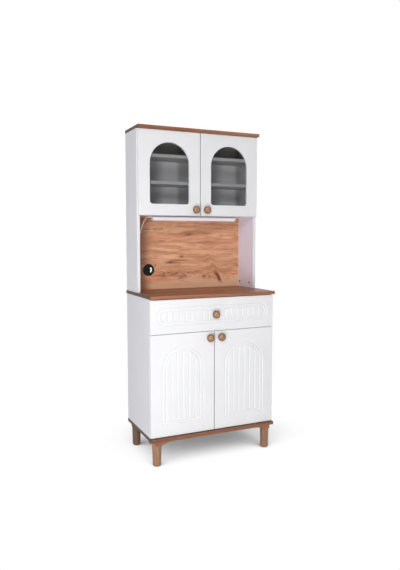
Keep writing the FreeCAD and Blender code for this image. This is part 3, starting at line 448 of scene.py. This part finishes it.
# Knots of the niche's wood decor: place along and up the back, half length, half height, in mm,
# tilt in degrees and darkness
KNOTS = [
    (-276, 1370, 22, 4, 0, 0.65),
    (-218, 1371, 12, 4, 0, 0.6),
    (-190, 1373, 5, 4, 0, 0.5),
    (-172, 1375, 5, 5, 0, 0.55),
    (16, 1339, 28, 7, 4, 0.85),
    (-172, 1296, 20, 5, 0, 0.5),
    (254, 1326, 5, 6, 0, 0.5),
    (-35, 1197, 12, 5, 6, 0.85),
    (-114, 1159, 24, 6, 5, 0.9),
    (-217, 1141, 6, 6, 0, 0.6),
    (-184, 1090, 9, 4, -20, 0.5),
    (-158, 1084, 8, 4, 12, 0.5),
    (-128, 1091, 10, 4, 18, 0.5),
    (-100, 1084, 9, 4, -10, 0.45),
    (-72, 1089, 9, 5, 15, 0.5),
    (-34, 1064, 34, 13, 0, 0.45),
    (-10, 1028, 34, 8, 0, 0.35),
    (127, 1062, 17, 12, 10, 0.6),
    (216, 1076, 26, 7, -40, 0.5),
    (240, 1050, 46, 7, -60, 0.7),
    (233, 1040, 24, 6, -72, 0.7),
]
# How a knot fades with the square of the distance, in its own half sizes: its bend and halo, and
# its core. Then how strongly the grain bends round it, how dark its halo is, how far its outline
# strays, and how often the outline does that to the metre.
WIDE_FADE = -0.16
CORE_FADE = -1.1
BEND = -0.7
HALO = 0.16
STRAY = 0.012
STRAY_SCALE = (60.0, 60.0, 220.0)


def knot_group():
    """Node group of one knot: how far the grain bends round it, and how dark it is there."""
    group = bpy.data.node_groups.new("knot", "ShaderNodeTree")
    for name in ("Along", "Up", "X", "Z", "Length", "Height", "Cosine", "Sine", "Dark"):
        group.interface.new_socket(name, in_out="INPUT", socket_type="NodeSocketFloat")
    for name in ("Shift", "Shade"):
        group.interface.new_socket(name, in_out="OUTPUT", socket_type="NodeSocketFloat")
    given = group.nodes.new("NodeGroupInput").outputs
    result = group.nodes.new("NodeGroupOutput").inputs

    def maths(operation, *values):
        return add_maths(group, operation, *values)

    x = maths("SUBTRACT", given["Along"], given["X"])
    z = maths("SUBTRACT", given["Up"], given["Z"])
    along = maths("ADD", maths("MULTIPLY", x, given["Cosine"]),
                  maths("MULTIPLY", z, given["Sine"]))
    up = maths("SUBTRACT", maths("MULTIPLY", z, given["Cosine"]),
               maths("MULTIPLY", x, given["Sine"]))
    length = maths("DIVIDE", along, given["Length"])
    height = maths("DIVIDE", up, given["Height"])
    reach = maths("ADD", maths("MULTIPLY", length, length), maths("MULTIPLY", height, height))
    wide = maths("POWER", math.e, maths("MULTIPLY", reach, WIDE_FADE))
    bend = maths("MULTIPLY", maths("MULTIPLY", z, wide), BEND)
    core = maths("POWER", math.e, maths("MULTIPLY", reach, CORE_FADE))
    shade = maths("MULTIPLY", core, given["Dark"])
    halo = maths("MULTIPLY", maths("MULTIPLY", wide, given["Dark"]), HALO)
    group.links.new(bend, result["Shift"])
    group.links.new(maths("ADD", shade, halo), result["Shade"])
    return group


def add_knots(finish, along, up):
    """The bent grain coordinate and the knots' shade."""
    group = knot_group()
    rough = finish.noise(finish.stretched(finish.point, STRAY_SCALE), 1.0, 3.0)
    ragged = finish.plus(up, finish.times(finish.minus(rough, 0.5), STRAY))
    bent = up
    shade = 0.0
    for x, z, length, height, tilt, dark in KNOTS:
        node = finish.tree.nodes.new("ShaderNodeGroup")
        node.node_tree = group
        tilt = math.radians(tilt)
        values = {"Along": along, "Up": ragged, "X": x * MM, "Z": z * MM,
                  "Length": length * MM, "Height": height * MM,
                  "Cosine": math.cos(tilt), "Sine": math.sin(tilt), "Dark": dark}
        for name, value in values.items():
            feed(finish.tree, node.inputs[name], value)
        bent = finish.plus(bent, node.outputs["Shift"])
        shade = finish.plus(shade, node.outputs["Shade"])
    return bent, shade


SPECKLE_SCALE = 420.0
HARDBOARD = [(0.3, (124, 92, 64)), (0.5, (150, 115, 82)), (0.75, (176, 142, 106))]


def raw_board(finish, decor):
    """Bare brown hardboard on a back's rear face, behind the decor on its front."""
    hardboard = finish.ramp(finish.noise(finish.point, SPECKLE_SCALE, 4.0, 0.7), HARDBOARD)
    return finish.mix(finish.over(finish.facing()[1], FACES), decor, hardboard)


NICHE_WOOD = [(0.0, (246, 196, 158)), (0.35, (230, 172, 134)), (0.65, (208, 148, 112)),
              (1.0, (160, 104, 76))]
# The niche's wood has painted light from its middle down, but never lighter than one colour,
# and painted shade at its left, where the side panel shades it
NICHE_LOW = 0.99
NICHE_MIDDLE = 1.16
NICHE_PAINTED_LIGHT = (192, 194, 202)
NICHE_PAINTED_LIGHT_LIMIT = (255, 210, 172)
NICHE_LEFT = -0.31
NICHE_LEFT_WIDTH = 0.08
NICHE_LEFT_PAINTED_SHADE = (120, 76, 58)
NICHE_LEFT_PAINTED_SHADE_SHARE = 0.6
KNOT_DARK = (92, 42, 26)
KNOT_SHARE = 0.9
# Its streaks: how many to the metre along and across, seed, detail, the noise where they start
# and are full, share and colour
STREAKS = [
    (30.0, 420.0, 5.0, 3.0, 0.5, 0.72, 0.45, (146, 90, 64)),
    (5.0, 16.0, 2.0, 2.0, 0.52, 0.7, 0.4, (196, 116, 80)),
    (4.0, 60.0, 3.0, 2.0, 0.56, 0.76, 0.45, (136, 80, 56)),
    (3.6, 26.0, 9.0, 2.0, 0.52, 0.7, 0.55, (248, 202, 158)),
]
ROUGH_STREAKS = (34.0, 130.0, 7.0, 3.0, 0.48, 0.66, 0.7, (132, 68, 44))
# The rougher band that these last lie in: height at the middle, slope, and how far from its line
# it starts to end and has ended
ROUGH_BAND = 1.078
ROUGH_SLOPE = 0.05
ROUGH_FULL = 0.01
ROUGH_END = 0.036


def niche_decor():
    """The niche's warm knotty wood, with painted light low down and painted shade at its left."""
    finish = Finish("niche_wood_decor", 0.45)
    x, y, z = finish.axes(finish.point)
    bent, shade = add_knots(finish, x, z)
    dark, fine = fibres(finish, x, bent, y, bands=34.0, lines=190.0, short=3.2)
    wood = finish.ramp(dark, NICHE_WOOD)

    def streaks(along, across, seed, detail, start, full, share):
        place = finish.vector(finish.times(x, along), finish.times(bent, across), seed)
        return finish.spread(finish.noise(place, 1.0, detail, 0.65), start, full, 0.0, share)

    for *pattern, colour in STREAKS:
        wood = finish.tint(wood, colour, streaks(*pattern))
    *pattern, colour = ROUGH_STREAKS
    off_band = finish.size(finish.minus(finish.plus(z, finish.times(x, ROUGH_SLOPE)), ROUGH_BAND))
    in_band = finish.spread(off_band, ROUGH_FULL, ROUGH_END, 1.0, 0.0)
    wood = finish.tint(wood, colour, finish.times(streaks(*pattern), in_band))
    wood = finish.tint(wood, KNOT_DARK, add_maths(finish.tree, "MINIMUM", shade, KNOT_SHARE))
    # painted light from the middle down, capped at one colour, and painted shade at the left
    low = finish.spread(z, NICHE_LOW, NICHE_MIDDLE, 1.0, 0.0)
    wood = finish.tint(wood, NICHE_PAINTED_LIGHT, low, "DODGE")
    wood = finish.tint(wood, NICHE_PAINTED_LIGHT_LIMIT, 1.0, "DARKEN")
    left = finish.spread(x, NICHE_LEFT, NICHE_LEFT + NICHE_LEFT_WIDTH, NICHE_LEFT_PAINTED_SHADE_SHARE, 0.0)
    wood = finish.tint(wood, NICHE_LEFT_PAINTED_SHADE, left)
    finish.colour(raw_board(finish, wood))
    finish.roughness(fine, 0.4, 0.56)
    finish.bump(fine, GRAIN_DEPTH, 0.3)
    return finish.material


WALNUT = [(0.0, (196, 140, 108)), (0.4, (174, 118, 88)), (0.7, (152, 98, 72)),
          (1.0, (118, 73, 53))]
WALNUT_PAINTED_SHADE = (98, 76, 64)
WALNUT_END_PAINTED_SHADE = (56, 38, 30)
WALNUT_END_PAINTED_SHADE_SHARE = 0.88
DULL_SPECULAR = 0.2


def walnut(name, edge_shade, top_shade):
    """Walnut decor on the boards, with painted shade: one share on their tops, the other on the
    rest, and strong on their end edges. The grain runs along X, and along Y on the end edges."""
    finish = Finish(name, 0.4)
    x, y, z = finish.axes(finish.point)
    end = finish.over(finish.size(finish.facing()[0]), FACES)
    rest = finish.minus(1.0, end)
    along = finish.plus(finish.times(x, rest), finish.times(y, end))
    across = finish.plus(finish.times(y, rest), finish.times(x, end))
    dark, fine = fibres(finish, along, across, z, bands=40.0, lines=210.0)
    wood = finish.ramp(dark, WALNUT)
    not_top = finish.under(finish.facing()[2], FACES)
    # painted shade by which way a face points, and strong painted shade on the end edges
    shade = finish.plus(top_shade, finish.times(not_top, edge_shade - top_shade))
    wood = finish.tint(wood, WALNUT_PAINTED_SHADE, shade)
    finish.colour(finish.tint(wood, WALNUT_END_PAINTED_SHADE, finish.times(end, WALNUT_END_PAINTED_SHADE_SHARE)))
    finish.uniform("Specular IOR Level", DULL_SPECULAR)
    finish.roughness(fine, 0.34, 0.48)
    finish.bump(fine, GRAIN_DEPTH, 0.35)
    return finish.material


TURNED_WOOD = [(0.0, (180, 136, 104)), (0.45, (160, 118, 89)), (0.75, (138, 99, 73)),
               (1.0, (106, 75, 55))]
REAR_LEG_PAINTED_SHADE = (66, 46, 34)
REAR_LEG_PAINTED_SHADE_SHARE = 0.66


def turned_wood():
    """Oiled solid wood of the legs, with its grain upright, and painted shade on the rear legs."""
    finish = Finish("turned_wood", 0.48)
    x, y, z = finish.axes(finish.point)
    dark, fine = fibres(finish, z, x, y, bands=60.0, lines=260.0)
    wood = finish.ramp(dark, TURNED_WOOD)
    # painted shade on the rear legs
    rear = finish.times(finish.over(y, 0.0), REAR_LEG_PAINTED_SHADE_SHARE)
    finish.colour(finish.tint(wood, REAR_LEG_PAINTED_SHADE, rear))
    finish.roughness(fine, 0.42, 0.58)
    finish.bump(fine, OILED_GRAIN_DEPTH, 0.4)
    return finish.material


KNOB_WOOD = [(0.0, (198, 147, 110)), (0.5, (176, 127, 92)), (1.0, (140, 99, 71))]
# A knob's painted highlight at one side and painted shade round its rim: colour, share, and
# where they start and are full, in shares of the knob's width from its middle
KNOB_PAINTED_HIGHLIGHT = (222, 184, 152)
KNOB_PAINTED_HIGHLIGHT_SHARE = 0.4
KNOB_HIGHLIGHT_START = 0.05
KNOB_HIGHLIGHT_FULL = 0.5
KNOB_RIM_PAINTED_SHADE = (62, 50, 40)
KNOB_RIM_PAINTED_SHADE_SHARE = 0.75
RIM_START = 0.3
RIM_FULL = 0.44


def knob_wood():
    """Oiled knobs: warm on the face, a painted highlight at one side, painted shade round the rim.
    """
    finish = Finish("knob_wood", 0.34)
    x, y, z = finish.axes(finish.point)
    dark, fine = fibres(finish, z, x, y, bands=90.0, lines=420.0, short=4.0)
    wood = finish.ramp(dark, KNOB_WOOD)
    across, _, up = finish.axes(finish.share_of_piece)
    across = finish.minus(across, 0.5)
    up = finish.minus(up, 0.5)
    # painted highlight at one side
    highlight = finish.spread(finish.minus(up, across), KNOB_HIGHLIGHT_START, KNOB_HIGHLIGHT_FULL, 0.0, KNOB_PAINTED_HIGHLIGHT_SHARE)
    wood = finish.tint(wood, KNOB_PAINTED_HIGHLIGHT, highlight)
    # painted shade round the rim
    squares = finish.plus(finish.times(across, across), finish.times(up, up))
    rim = finish.spread(add_maths(finish.tree, "SQRT", squares), RIM_START, RIM_FULL, 0.0,
                        KNOB_RIM_PAINTED_SHADE_SHARE)
    finish.colour(finish.tint(wood, KNOB_RIM_PAINTED_SHADE, rim))
    finish.roughness(fine, 0.28, 0.4)
    finish.bump(fine, OILED_GRAIN_DEPTH, 0.3)
    return finish.material


# The painted pools of light on the hutch's back, as (start, full, fading, end) across
PAINTED_LIGHT_POOLS = ((-0.225, -0.13, -0.078, -0.036), (0.185, 0.285, 0.34, 0.378))
PAINTED_SHADE_BESIDE_POOLS = (176, 176, 176)
PAINTED_SHADE_BESIDE_POOLS_SHARE = 0.88
PAINTED_LOW_SHADE = (190, 190, 190)
PAINTED_LOW_SHADE_SHARE = 0.35
LOW_HEIGHT = 0.09
PAINTED_TOP_SHADE = (150, 150, 152)
PAINTED_TOP_SHADE_SHARE = 0.45


def inside_back():
    """White foil in front with painted shade: beside painted light pools from the windows, low in
    the lower two compartments and all over the top one. Bare hardboard behind."""
    finish = Finish("white_back", 0.5)
    cloud = finish.noise(finish.point, CLOUD_SCALE, CLOUD_DETAIL)
    white = finish.mix(cloud, srgb(244, 244, 245), srgb(250, 250, 250))
    x, _, z = finish.axes(finish.point)
    # painted pools of light, painted shade beside them, low in two compartments and in the top one
    pools = 0.0
    for start, full, fading, end in PAINTED_LIGHT_POOLS:
        pool = finish.times(finish.spread(x, start, full), finish.spread(x, fading, end, 1.0, 0.0))
        pools = finish.plus(pool, pools)
    in_hutch = finish.over(z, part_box("hutch_floor")[1].z)
    beside = finish.times(in_hutch, finish.minus(1.0, pools))
    white = finish.tint(white, PAINTED_SHADE_BESIDE_POOLS, finish.times(beside, PAINTED_SHADE_BESIDE_POOLS_SHARE))
    for shelf in ("hutch_floor", "hutch_shelf_lower"):
        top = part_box(shelf)[1].z
        low = finish.times(finish.over(z, top),
                           finish.spread(z, top, top + LOW_HEIGHT, PAINTED_LOW_SHADE_SHARE, 0.0))
        white = finish.tint(white, PAINTED_LOW_SHADE, low)
    above = finish.over(z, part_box("hutch_shelf_upper")[1].z)
    white = finish.tint(white, PAINTED_TOP_SHADE, finish.times(above, PAINTED_TOP_SHADE_SHARE))
    finish.colour(raw_board(finish, white))
    finish.bump(finish.noise(finish.point, 700.0), PEEL_DEPTH, 0.3)
    return finish.material


def dull_black():
    material = moulded("black_plastic", (8, 8, 9), 0.3)
    shader = material.node_tree.nodes["Principled BSDF"]
    shader.inputs["Specular IOR Level"].default_value = DULL_SPECULAR
    return material


lamp_white = moulded("lamp_white", (232, 230, 236), 0.38)
black_plastic = dull_black()
cord_sheath = moulded("cord_sheath", (236, 226, 218), 0.45, 700.0)

SLOT_FINISHES = {
    "white_panel": foil("white_panel_foil", WHITE, 0.46),
    "white_front": routed_foil("white_front_foil", FRONT_WHITE, 0.4),
    "walnut_board": walnut("walnut_decor", edge_shade=0.1, top_shade=0.04),
    "niche_wood": niche_decor(),
    # The shelves' grey is partly a guessed colour and partly painted shade for the dim inside
    "grey_shelf": foil("shelf_foil", (174, 174, 176), 0.5),
    "back_white": inside_back(),
    "turned_wood": turned_wood(),
    "smoked_glass": smoked_glass(),
    "bead_white": moulded("bead_white", (228, 228, 230), 0.5),
    "zinc": metal("zinc_plate", (120, 121, 124), 0.42, "z"),
    "nickel": metal("nickel_plate", (190, 190, 188), 0.28, "y"),
    "runner_steel": metal("runner_steel", (176, 179, 182), 0.34, "y"),
    "lamp_white": lamp_body(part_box("lamp_housing")[1].z),
    "lamp_opal": opal(),
    "grommet_black": black_plastic,
    "cord_white": cord_sheath,
    "drawer_board": foil("drawer_foil", (234, 234, 236), 0.5),
}
for entry in frame["record"]["subparts"]:
    piece = nodes[entry["node"]]
    piece.data.materials.clear()
    piece.data.materials.append(SLOT_FINISHES[entry["material_slot"]])

# Pieces whose finish differs from the rest of their slot: painted shade and light, and on the
# knobs a grain of their own too
nodes["base_board"].data.materials[0] = walnut("walnut_base_painted_shade", edge_shade=0.4,
                                               top_shade=0.75)
side_finish = hutch_side()
nodes["hutch_side_left"].data.materials[0] = side_finish
nodes["hutch_side_right"].data.materials[0] = side_finish
knob_finish = knob_wood()
for name in nodes:
    if "knob" in name:
        nodes[name].data.materials[0] = knob_finish


# Meshes
def new_piece(name, vertices, faces, finish, slot, smooth):
    mesh = bpy.data.meshes.new(name)
    mesh.from_pydata(vertices, [], faces)
    mesh.materials.append(finish)
    for polygon in mesh.polygons:
        polygon.use_smooth = smooth
    mesh.update()
    piece = bpy.data.objects.new(name, mesh)
    bpy.context.scene.collection.objects.link(piece)
    return piece


def tube(points, radii, sides):
    """Vertices and faces of a closed round tube along a path, with a radius at each point."""
    vertices = []
    faces = []
    side = None
    for index, point in enumerate(points):
        before = points[max(index - 1, 0)]
        after = points[min(index + 1, len(points) - 1)]
        heading = (after - before).normalized()
        if side is None:
            side = heading.orthogonal().normalized()
        side = (side - heading * side.dot(heading)).normalized()
        other = heading.cross(side)
        for step in range(sides):
            angle = 2 * math.pi * step / sides
            vertices.append(point + (side * math.cos(angle) + other * math.sin(angle))
                            * radii[index])
    for ring in range(len(points) - 1):
        for step in range(sides):
            a = ring * sides + step
            b = ring * sides + (step + 1) % sides
            faces.append((a, b, b + sides, a + sides))
    faces.append(tuple(reversed(range(sides))))
    last = (len(points) - 1) * sides
    faces.append(tuple(range(last, last + sides)))
    return vertices, faces


# Lamp cord: its points in mm, from the top of the lamp's left end face, half way back
CORD_POINTS = [
    (0, 0, -6), (-14, 0, -6), (-28, 1, -8), (-40, 1, -16), (-49, 2, -31), (-57, 3, -50),
    (-65, 3, -72), (-72, 5, -98), (-77, 12, -125), (-80, 29, -150), (-81, 52, -170),
    (-80, 79, -183), (-80, 105, -189), (-80, 128, -193), (-80, 146, -204), (-80, 156, -225),
    (-80, 159, -254), (-79, 161, -298), (-80, 160, -352), (-82, 161, -408), (-83, 159, -466),
    (-80, 160, -524), (-79, 162, -582), (-78, 160, -640), (-80, 159, -698), (-82, 160, -756),
    (-80, 161, -812), (-79, 160, -866), (-80, 160, -908), (-80, 160, -940),
]
CORD_DIAMETER = 0.004
CORD_STEPS = 16
CORD_ROUNDNESS = 5


def make_cord():
    """The cord's curve, and the points along its line."""
    low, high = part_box("lamp_end_caps")
    start = Vector((low.x, (low.y + high.y) / 2, high.z))
    data = bpy.data.curves.new("supply_cord", "CURVE")
    data.dimensions = "3D"
    data.resolution_u = CORD_STEPS
    spline = data.splines.new("NURBS")
    spline.points.add(len(CORD_POINTS) - 1)
    for point, place in zip(spline.points, CORD_POINTS):
        point.co = (*(start + Vector(place) * MM), 1)
    spline.order_u = 3
    spline.use_endpoint_u = True
    cord = bpy.data.objects.new("supply_cord", data)
    bpy.context.scene.collection.objects.link(cord)
    bpy.context.view_layer.update()
    line = bpy.data.meshes.new_from_object(cord.evaluated_get(
        bpy.context.evaluated_depsgraph_get()))
    path = [vertex.co.copy() for vertex in line.vertices]
    bpy.data.meshes.remove(line)
    data.bevel_depth = CORD_DIAMETER / 2
    data.bevel_resolution = CORD_ROUNDNESS
    data.materials.append(cord_sheath)
    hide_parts("lamp_cord")
    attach(cord, "cabinet")
    return cord, path


BOOT_LENGTH = 0.022
BOOT_WIDE = 0.0042
BOOT_NARROW = 0.0026
BOOT_GROOVES = 5
BOOT_GROOVE_DEPTH = 0.0005
BOOT_SIDES = 24


def make_boot(path):
    """The ribbed strain relief where the cord leaves the lamp."""
    points = []
    radii = []
    gone = 0.0
    for before, after in zip(path, path[1:]):
        if gone > BOOT_LENGTH:
            break
        share = gone / BOOT_LENGTH
        groove = 0.5 - 0.5 * math.cos(2 * math.pi * BOOT_GROOVES * share)
        points.append(before)
        radii.append(BOOT_WIDE + (BOOT_NARROW - BOOT_WIDE) * share - BOOT_GROOVE_DEPTH * groove)
        gone += (after - before).length
    boot = new_piece("cord_strain_relief", *tube(points, radii, BOOT_SIDES), lamp_white,
                     "lamp_white", True)
    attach(boot, "cabinet")
    return boot


cord, cord_line = make_cord()
strain_relief = make_boot(cord_line)


# Boards whose sharp edges get a small round that catches the light
ROUNDED_BOARDS = ("hutch_top", "counter_top", "base_board", "hutch_side_left",
                  "hutch_side_right", "base_side_left", "base_side_right", "hutch_shelf_lower",
                  "hutch_shelf_upper")
BOARD_EDGE = 0.0006
BOARD_EDGE_STEPS = 2
SAME_PLACE = 0.00001
FLAT_ANGLE = math.radians(0.5)
SHARP_ANGLE = math.radians(40)


def soften(piece):
    """Joins the mesh's loose triangles into flat faces, and rounds the edges between them."""
    weld = piece.modifiers.new("weld", "WELD")
    weld.merge_threshold = SAME_PLACE
    flat = piece.modifiers.new("flat", "DECIMATE")
    flat.decimate_type = "DISSOLVE"
    flat.angle_limit = FLAT_ANGLE
    bevel = piece.modifiers.new("edge", "BEVEL")
    bevel.width = BOARD_EDGE
    bevel.segments = BOARD_EDGE_STEPS
    bevel.limit_method = "ANGLE"
    bevel.angle_limit = SHARP_ANGLE
    bevel.harden_normals = True


for name in ROUNDED_BOARDS:
    soften(nodes[name])


# A small tongue that holds a cable at the straight side of the grommet's slot. Its root lies a
# little inside the cap, and its faces a little under the cap's.
CAP_SLOT_START = 0.01
TONGUE_LENGTH = 0.0045
TONGUE_HALF = 0.0035
TONGUE_ROOT = 0.001
TONGUE_INSET = 0.0004
TONGUE_STEPS = 10


def make_tongue():
    """A tongue with a round end, across the slot from its straight side."""
    low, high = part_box("grommet_cap")
    centre = (low + high) / 2
    start = centre.x + CAP_SLOT_START
    outline = [(start - TONGUE_ROOT, -TONGUE_HALF), (start - TONGUE_ROOT, TONGUE_HALF)]
    for step in range(TONGUE_STEPS + 1):
        angle = math.pi / 2 - math.pi * step / TONGUE_STEPS
        outline.append((start + (TONGUE_LENGTH - TONGUE_HALF) + TONGUE_HALF * math.cos(angle),
                        TONGUE_HALF * math.sin(angle)))
    vertices = [(x, y, centre.z + z) for y in (low.y + TONGUE_INSET, high.y - TONGUE_INSET)
                for x, z in outline]
    count = len(outline)
    faces = [tuple(range(count)), tuple(reversed(range(count, 2 * count)))]
    for index in range(count):
        after = (index + 1) % count
        faces.append((index, index + count, after + count, after))
    piece = new_piece("grommet_tongue", vertices, faces, black_plastic, "grommet_black", False)
    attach(piece, "grommet_disc")


make_tongue()


# Floor, light and the white round the object
FLOOR_HALF = 14.0
FLOOR_BOUNCE = 0.8
SHADOW_REACH = 0.6
SHADOW_SAMPLES = 24
SHADOW_TURN = (-0.45, -0.75, 0.5)
SHADOW_STOPS = [(0.4, (126, 126, 127)), (0.48, (145, 145, 146)), (0.53, (161, 161, 162)),
                (0.6, (198, 198, 199)), (0.72, (231, 231, 231)), (0.8, (247, 247, 247)),
                (0.88, (255, 255, 255))]
WORLD_LOW = 0.44
WORLD_HIGH = 0.26
LAMPS = [
    # name, power, width and height, place, aim
    ("key", 67.0, (0.95, 0.95), (-2.63, -4.25, 3.36), (0.0, -0.2, 1.2)),
    ("low_fill", 34.5, (1.8, 0.9), (-1.5, -2.45, 0.45), (0.0, -0.2, 0.5)),
]


def seen_directly(tree):
    """1 for what the camera, a reflection or glass sees, 0 for what lights the object."""
    rays = tree.nodes.new("ShaderNodeLightPath").outputs
    seen = rays["Is Camera Ray"]
    for name in ("Is Glossy Ray", "Is Transmission Ray"):
        seen = add_maths(tree, "MAXIMUM", seen, rays[name])
    return seen


def make_floor():
    """A white floor with a soft shadow under the object, that sends light back up as plain
    matte white."""
    corners = [(-FLOOR_HALF, -FLOOR_HALF, 0), (FLOOR_HALF, -FLOOR_HALF, 0),
               (FLOOR_HALF, FLOOR_HALF, 0), (-FLOOR_HALF, FLOOR_HALF, 0)]
    mesh = bpy.data.meshes.new("floor")
    mesh.from_pydata(corners, [], [(0, 1, 2, 3)])
    material = bpy.data.materials.new("floor")
    material.use_nodes = True
    tree = material.node_tree
    tree.nodes.remove(tree.nodes["Principled BSDF"])
    shadow = tree.nodes.new("ShaderNodeAmbientOcclusion")
    shadow.samples = SHADOW_SAMPLES
    shadow.inputs["Distance"].default_value = SHADOW_REACH
    towards = tree.nodes.new("ShaderNodeCombineXYZ")
    for socket, value in zip(towards.inputs, SHADOW_TURN):
        socket.default_value = value
    tree.links.new(towards.outputs[0], shadow.inputs["Normal"])
    white = tree.nodes.new("ShaderNodeEmission")
    tree.links.new(add_ramp(tree, shadow.outputs["AO"], SHADOW_STOPS), white.inputs["Color"])
    bounce = tree.nodes.new("ShaderNodeBsdfDiffuse")
    bounce.inputs["Color"].default_value = (FLOOR_BOUNCE, FLOOR_BOUNCE, FLOOR_BOUNCE, 1)
    both = tree.nodes.new("ShaderNodeMixShader")
    tree.links.new(seen_directly(tree), both.inputs[0])
    tree.links.new(bounce.outputs[0], both.inputs[1])
    tree.links.new(white.outputs[0], both.inputs[2])
    tree.links.new(both.outputs[0], tree.nodes["Material Output"].inputs["Surface"])
    mesh.materials.append(material)
    floor = bpy.data.objects.new("floor", mesh)
    bpy.context.scene.collection.objects.link(floor)


def make_world():
    """White behind everything. What lights the object is a little brighter low down."""
    world = bpy.data.worlds.new("studio")
    bpy.context.scene.world = world
    world.use_nodes = True
    tree = world.node_tree
    background = tree.nodes["Background"]
    background.inputs["Color"].default_value = (1, 1, 1, 1)
    height = tree.nodes.new("ShaderNodeSeparateXYZ")
    tree.links.new(tree.nodes.new("ShaderNodeTexCoord").outputs["Generated"], height.inputs[0])
    light = tree.nodes.new("ShaderNodeMapRange")
    tree.links.new(height.outputs[2], light.inputs["Value"])
    light.inputs["To Min"].default_value = WORLD_LOW
    light.inputs["To Max"].default_value = WORLD_HIGH
    strength = tree.nodes.new("ShaderNodeMapRange")
    tree.links.new(seen_directly(tree), strength.inputs["Value"])
    tree.links.new(light.outputs[0], strength.inputs["To Min"])
    tree.links.new(strength.outputs[0], background.inputs["Strength"])


def make_lamps():
    """A soft lamp high in front of the object, to its left, and a wide one low down."""
    for name, power, size, place, aim in LAMPS:
        data = bpy.data.lights.new(name, "AREA")
        data.shape = "RECTANGLE"
        data.size, data.size_y = size
        data.energy = power
        lamp = bpy.data.objects.new(name, data)
        lamp.location = place
        lamp.rotation_euler = (Vector(aim) - Vector(place)).to_track_quat("-Z", "Y").to_euler()
        lamp.visible_camera = False
        bpy.context.scene.collection.objects.link(lamp)


make_floor()
make_world()
make_lamps()
bpy.context.scene.view_settings.view_transform = "Standard"
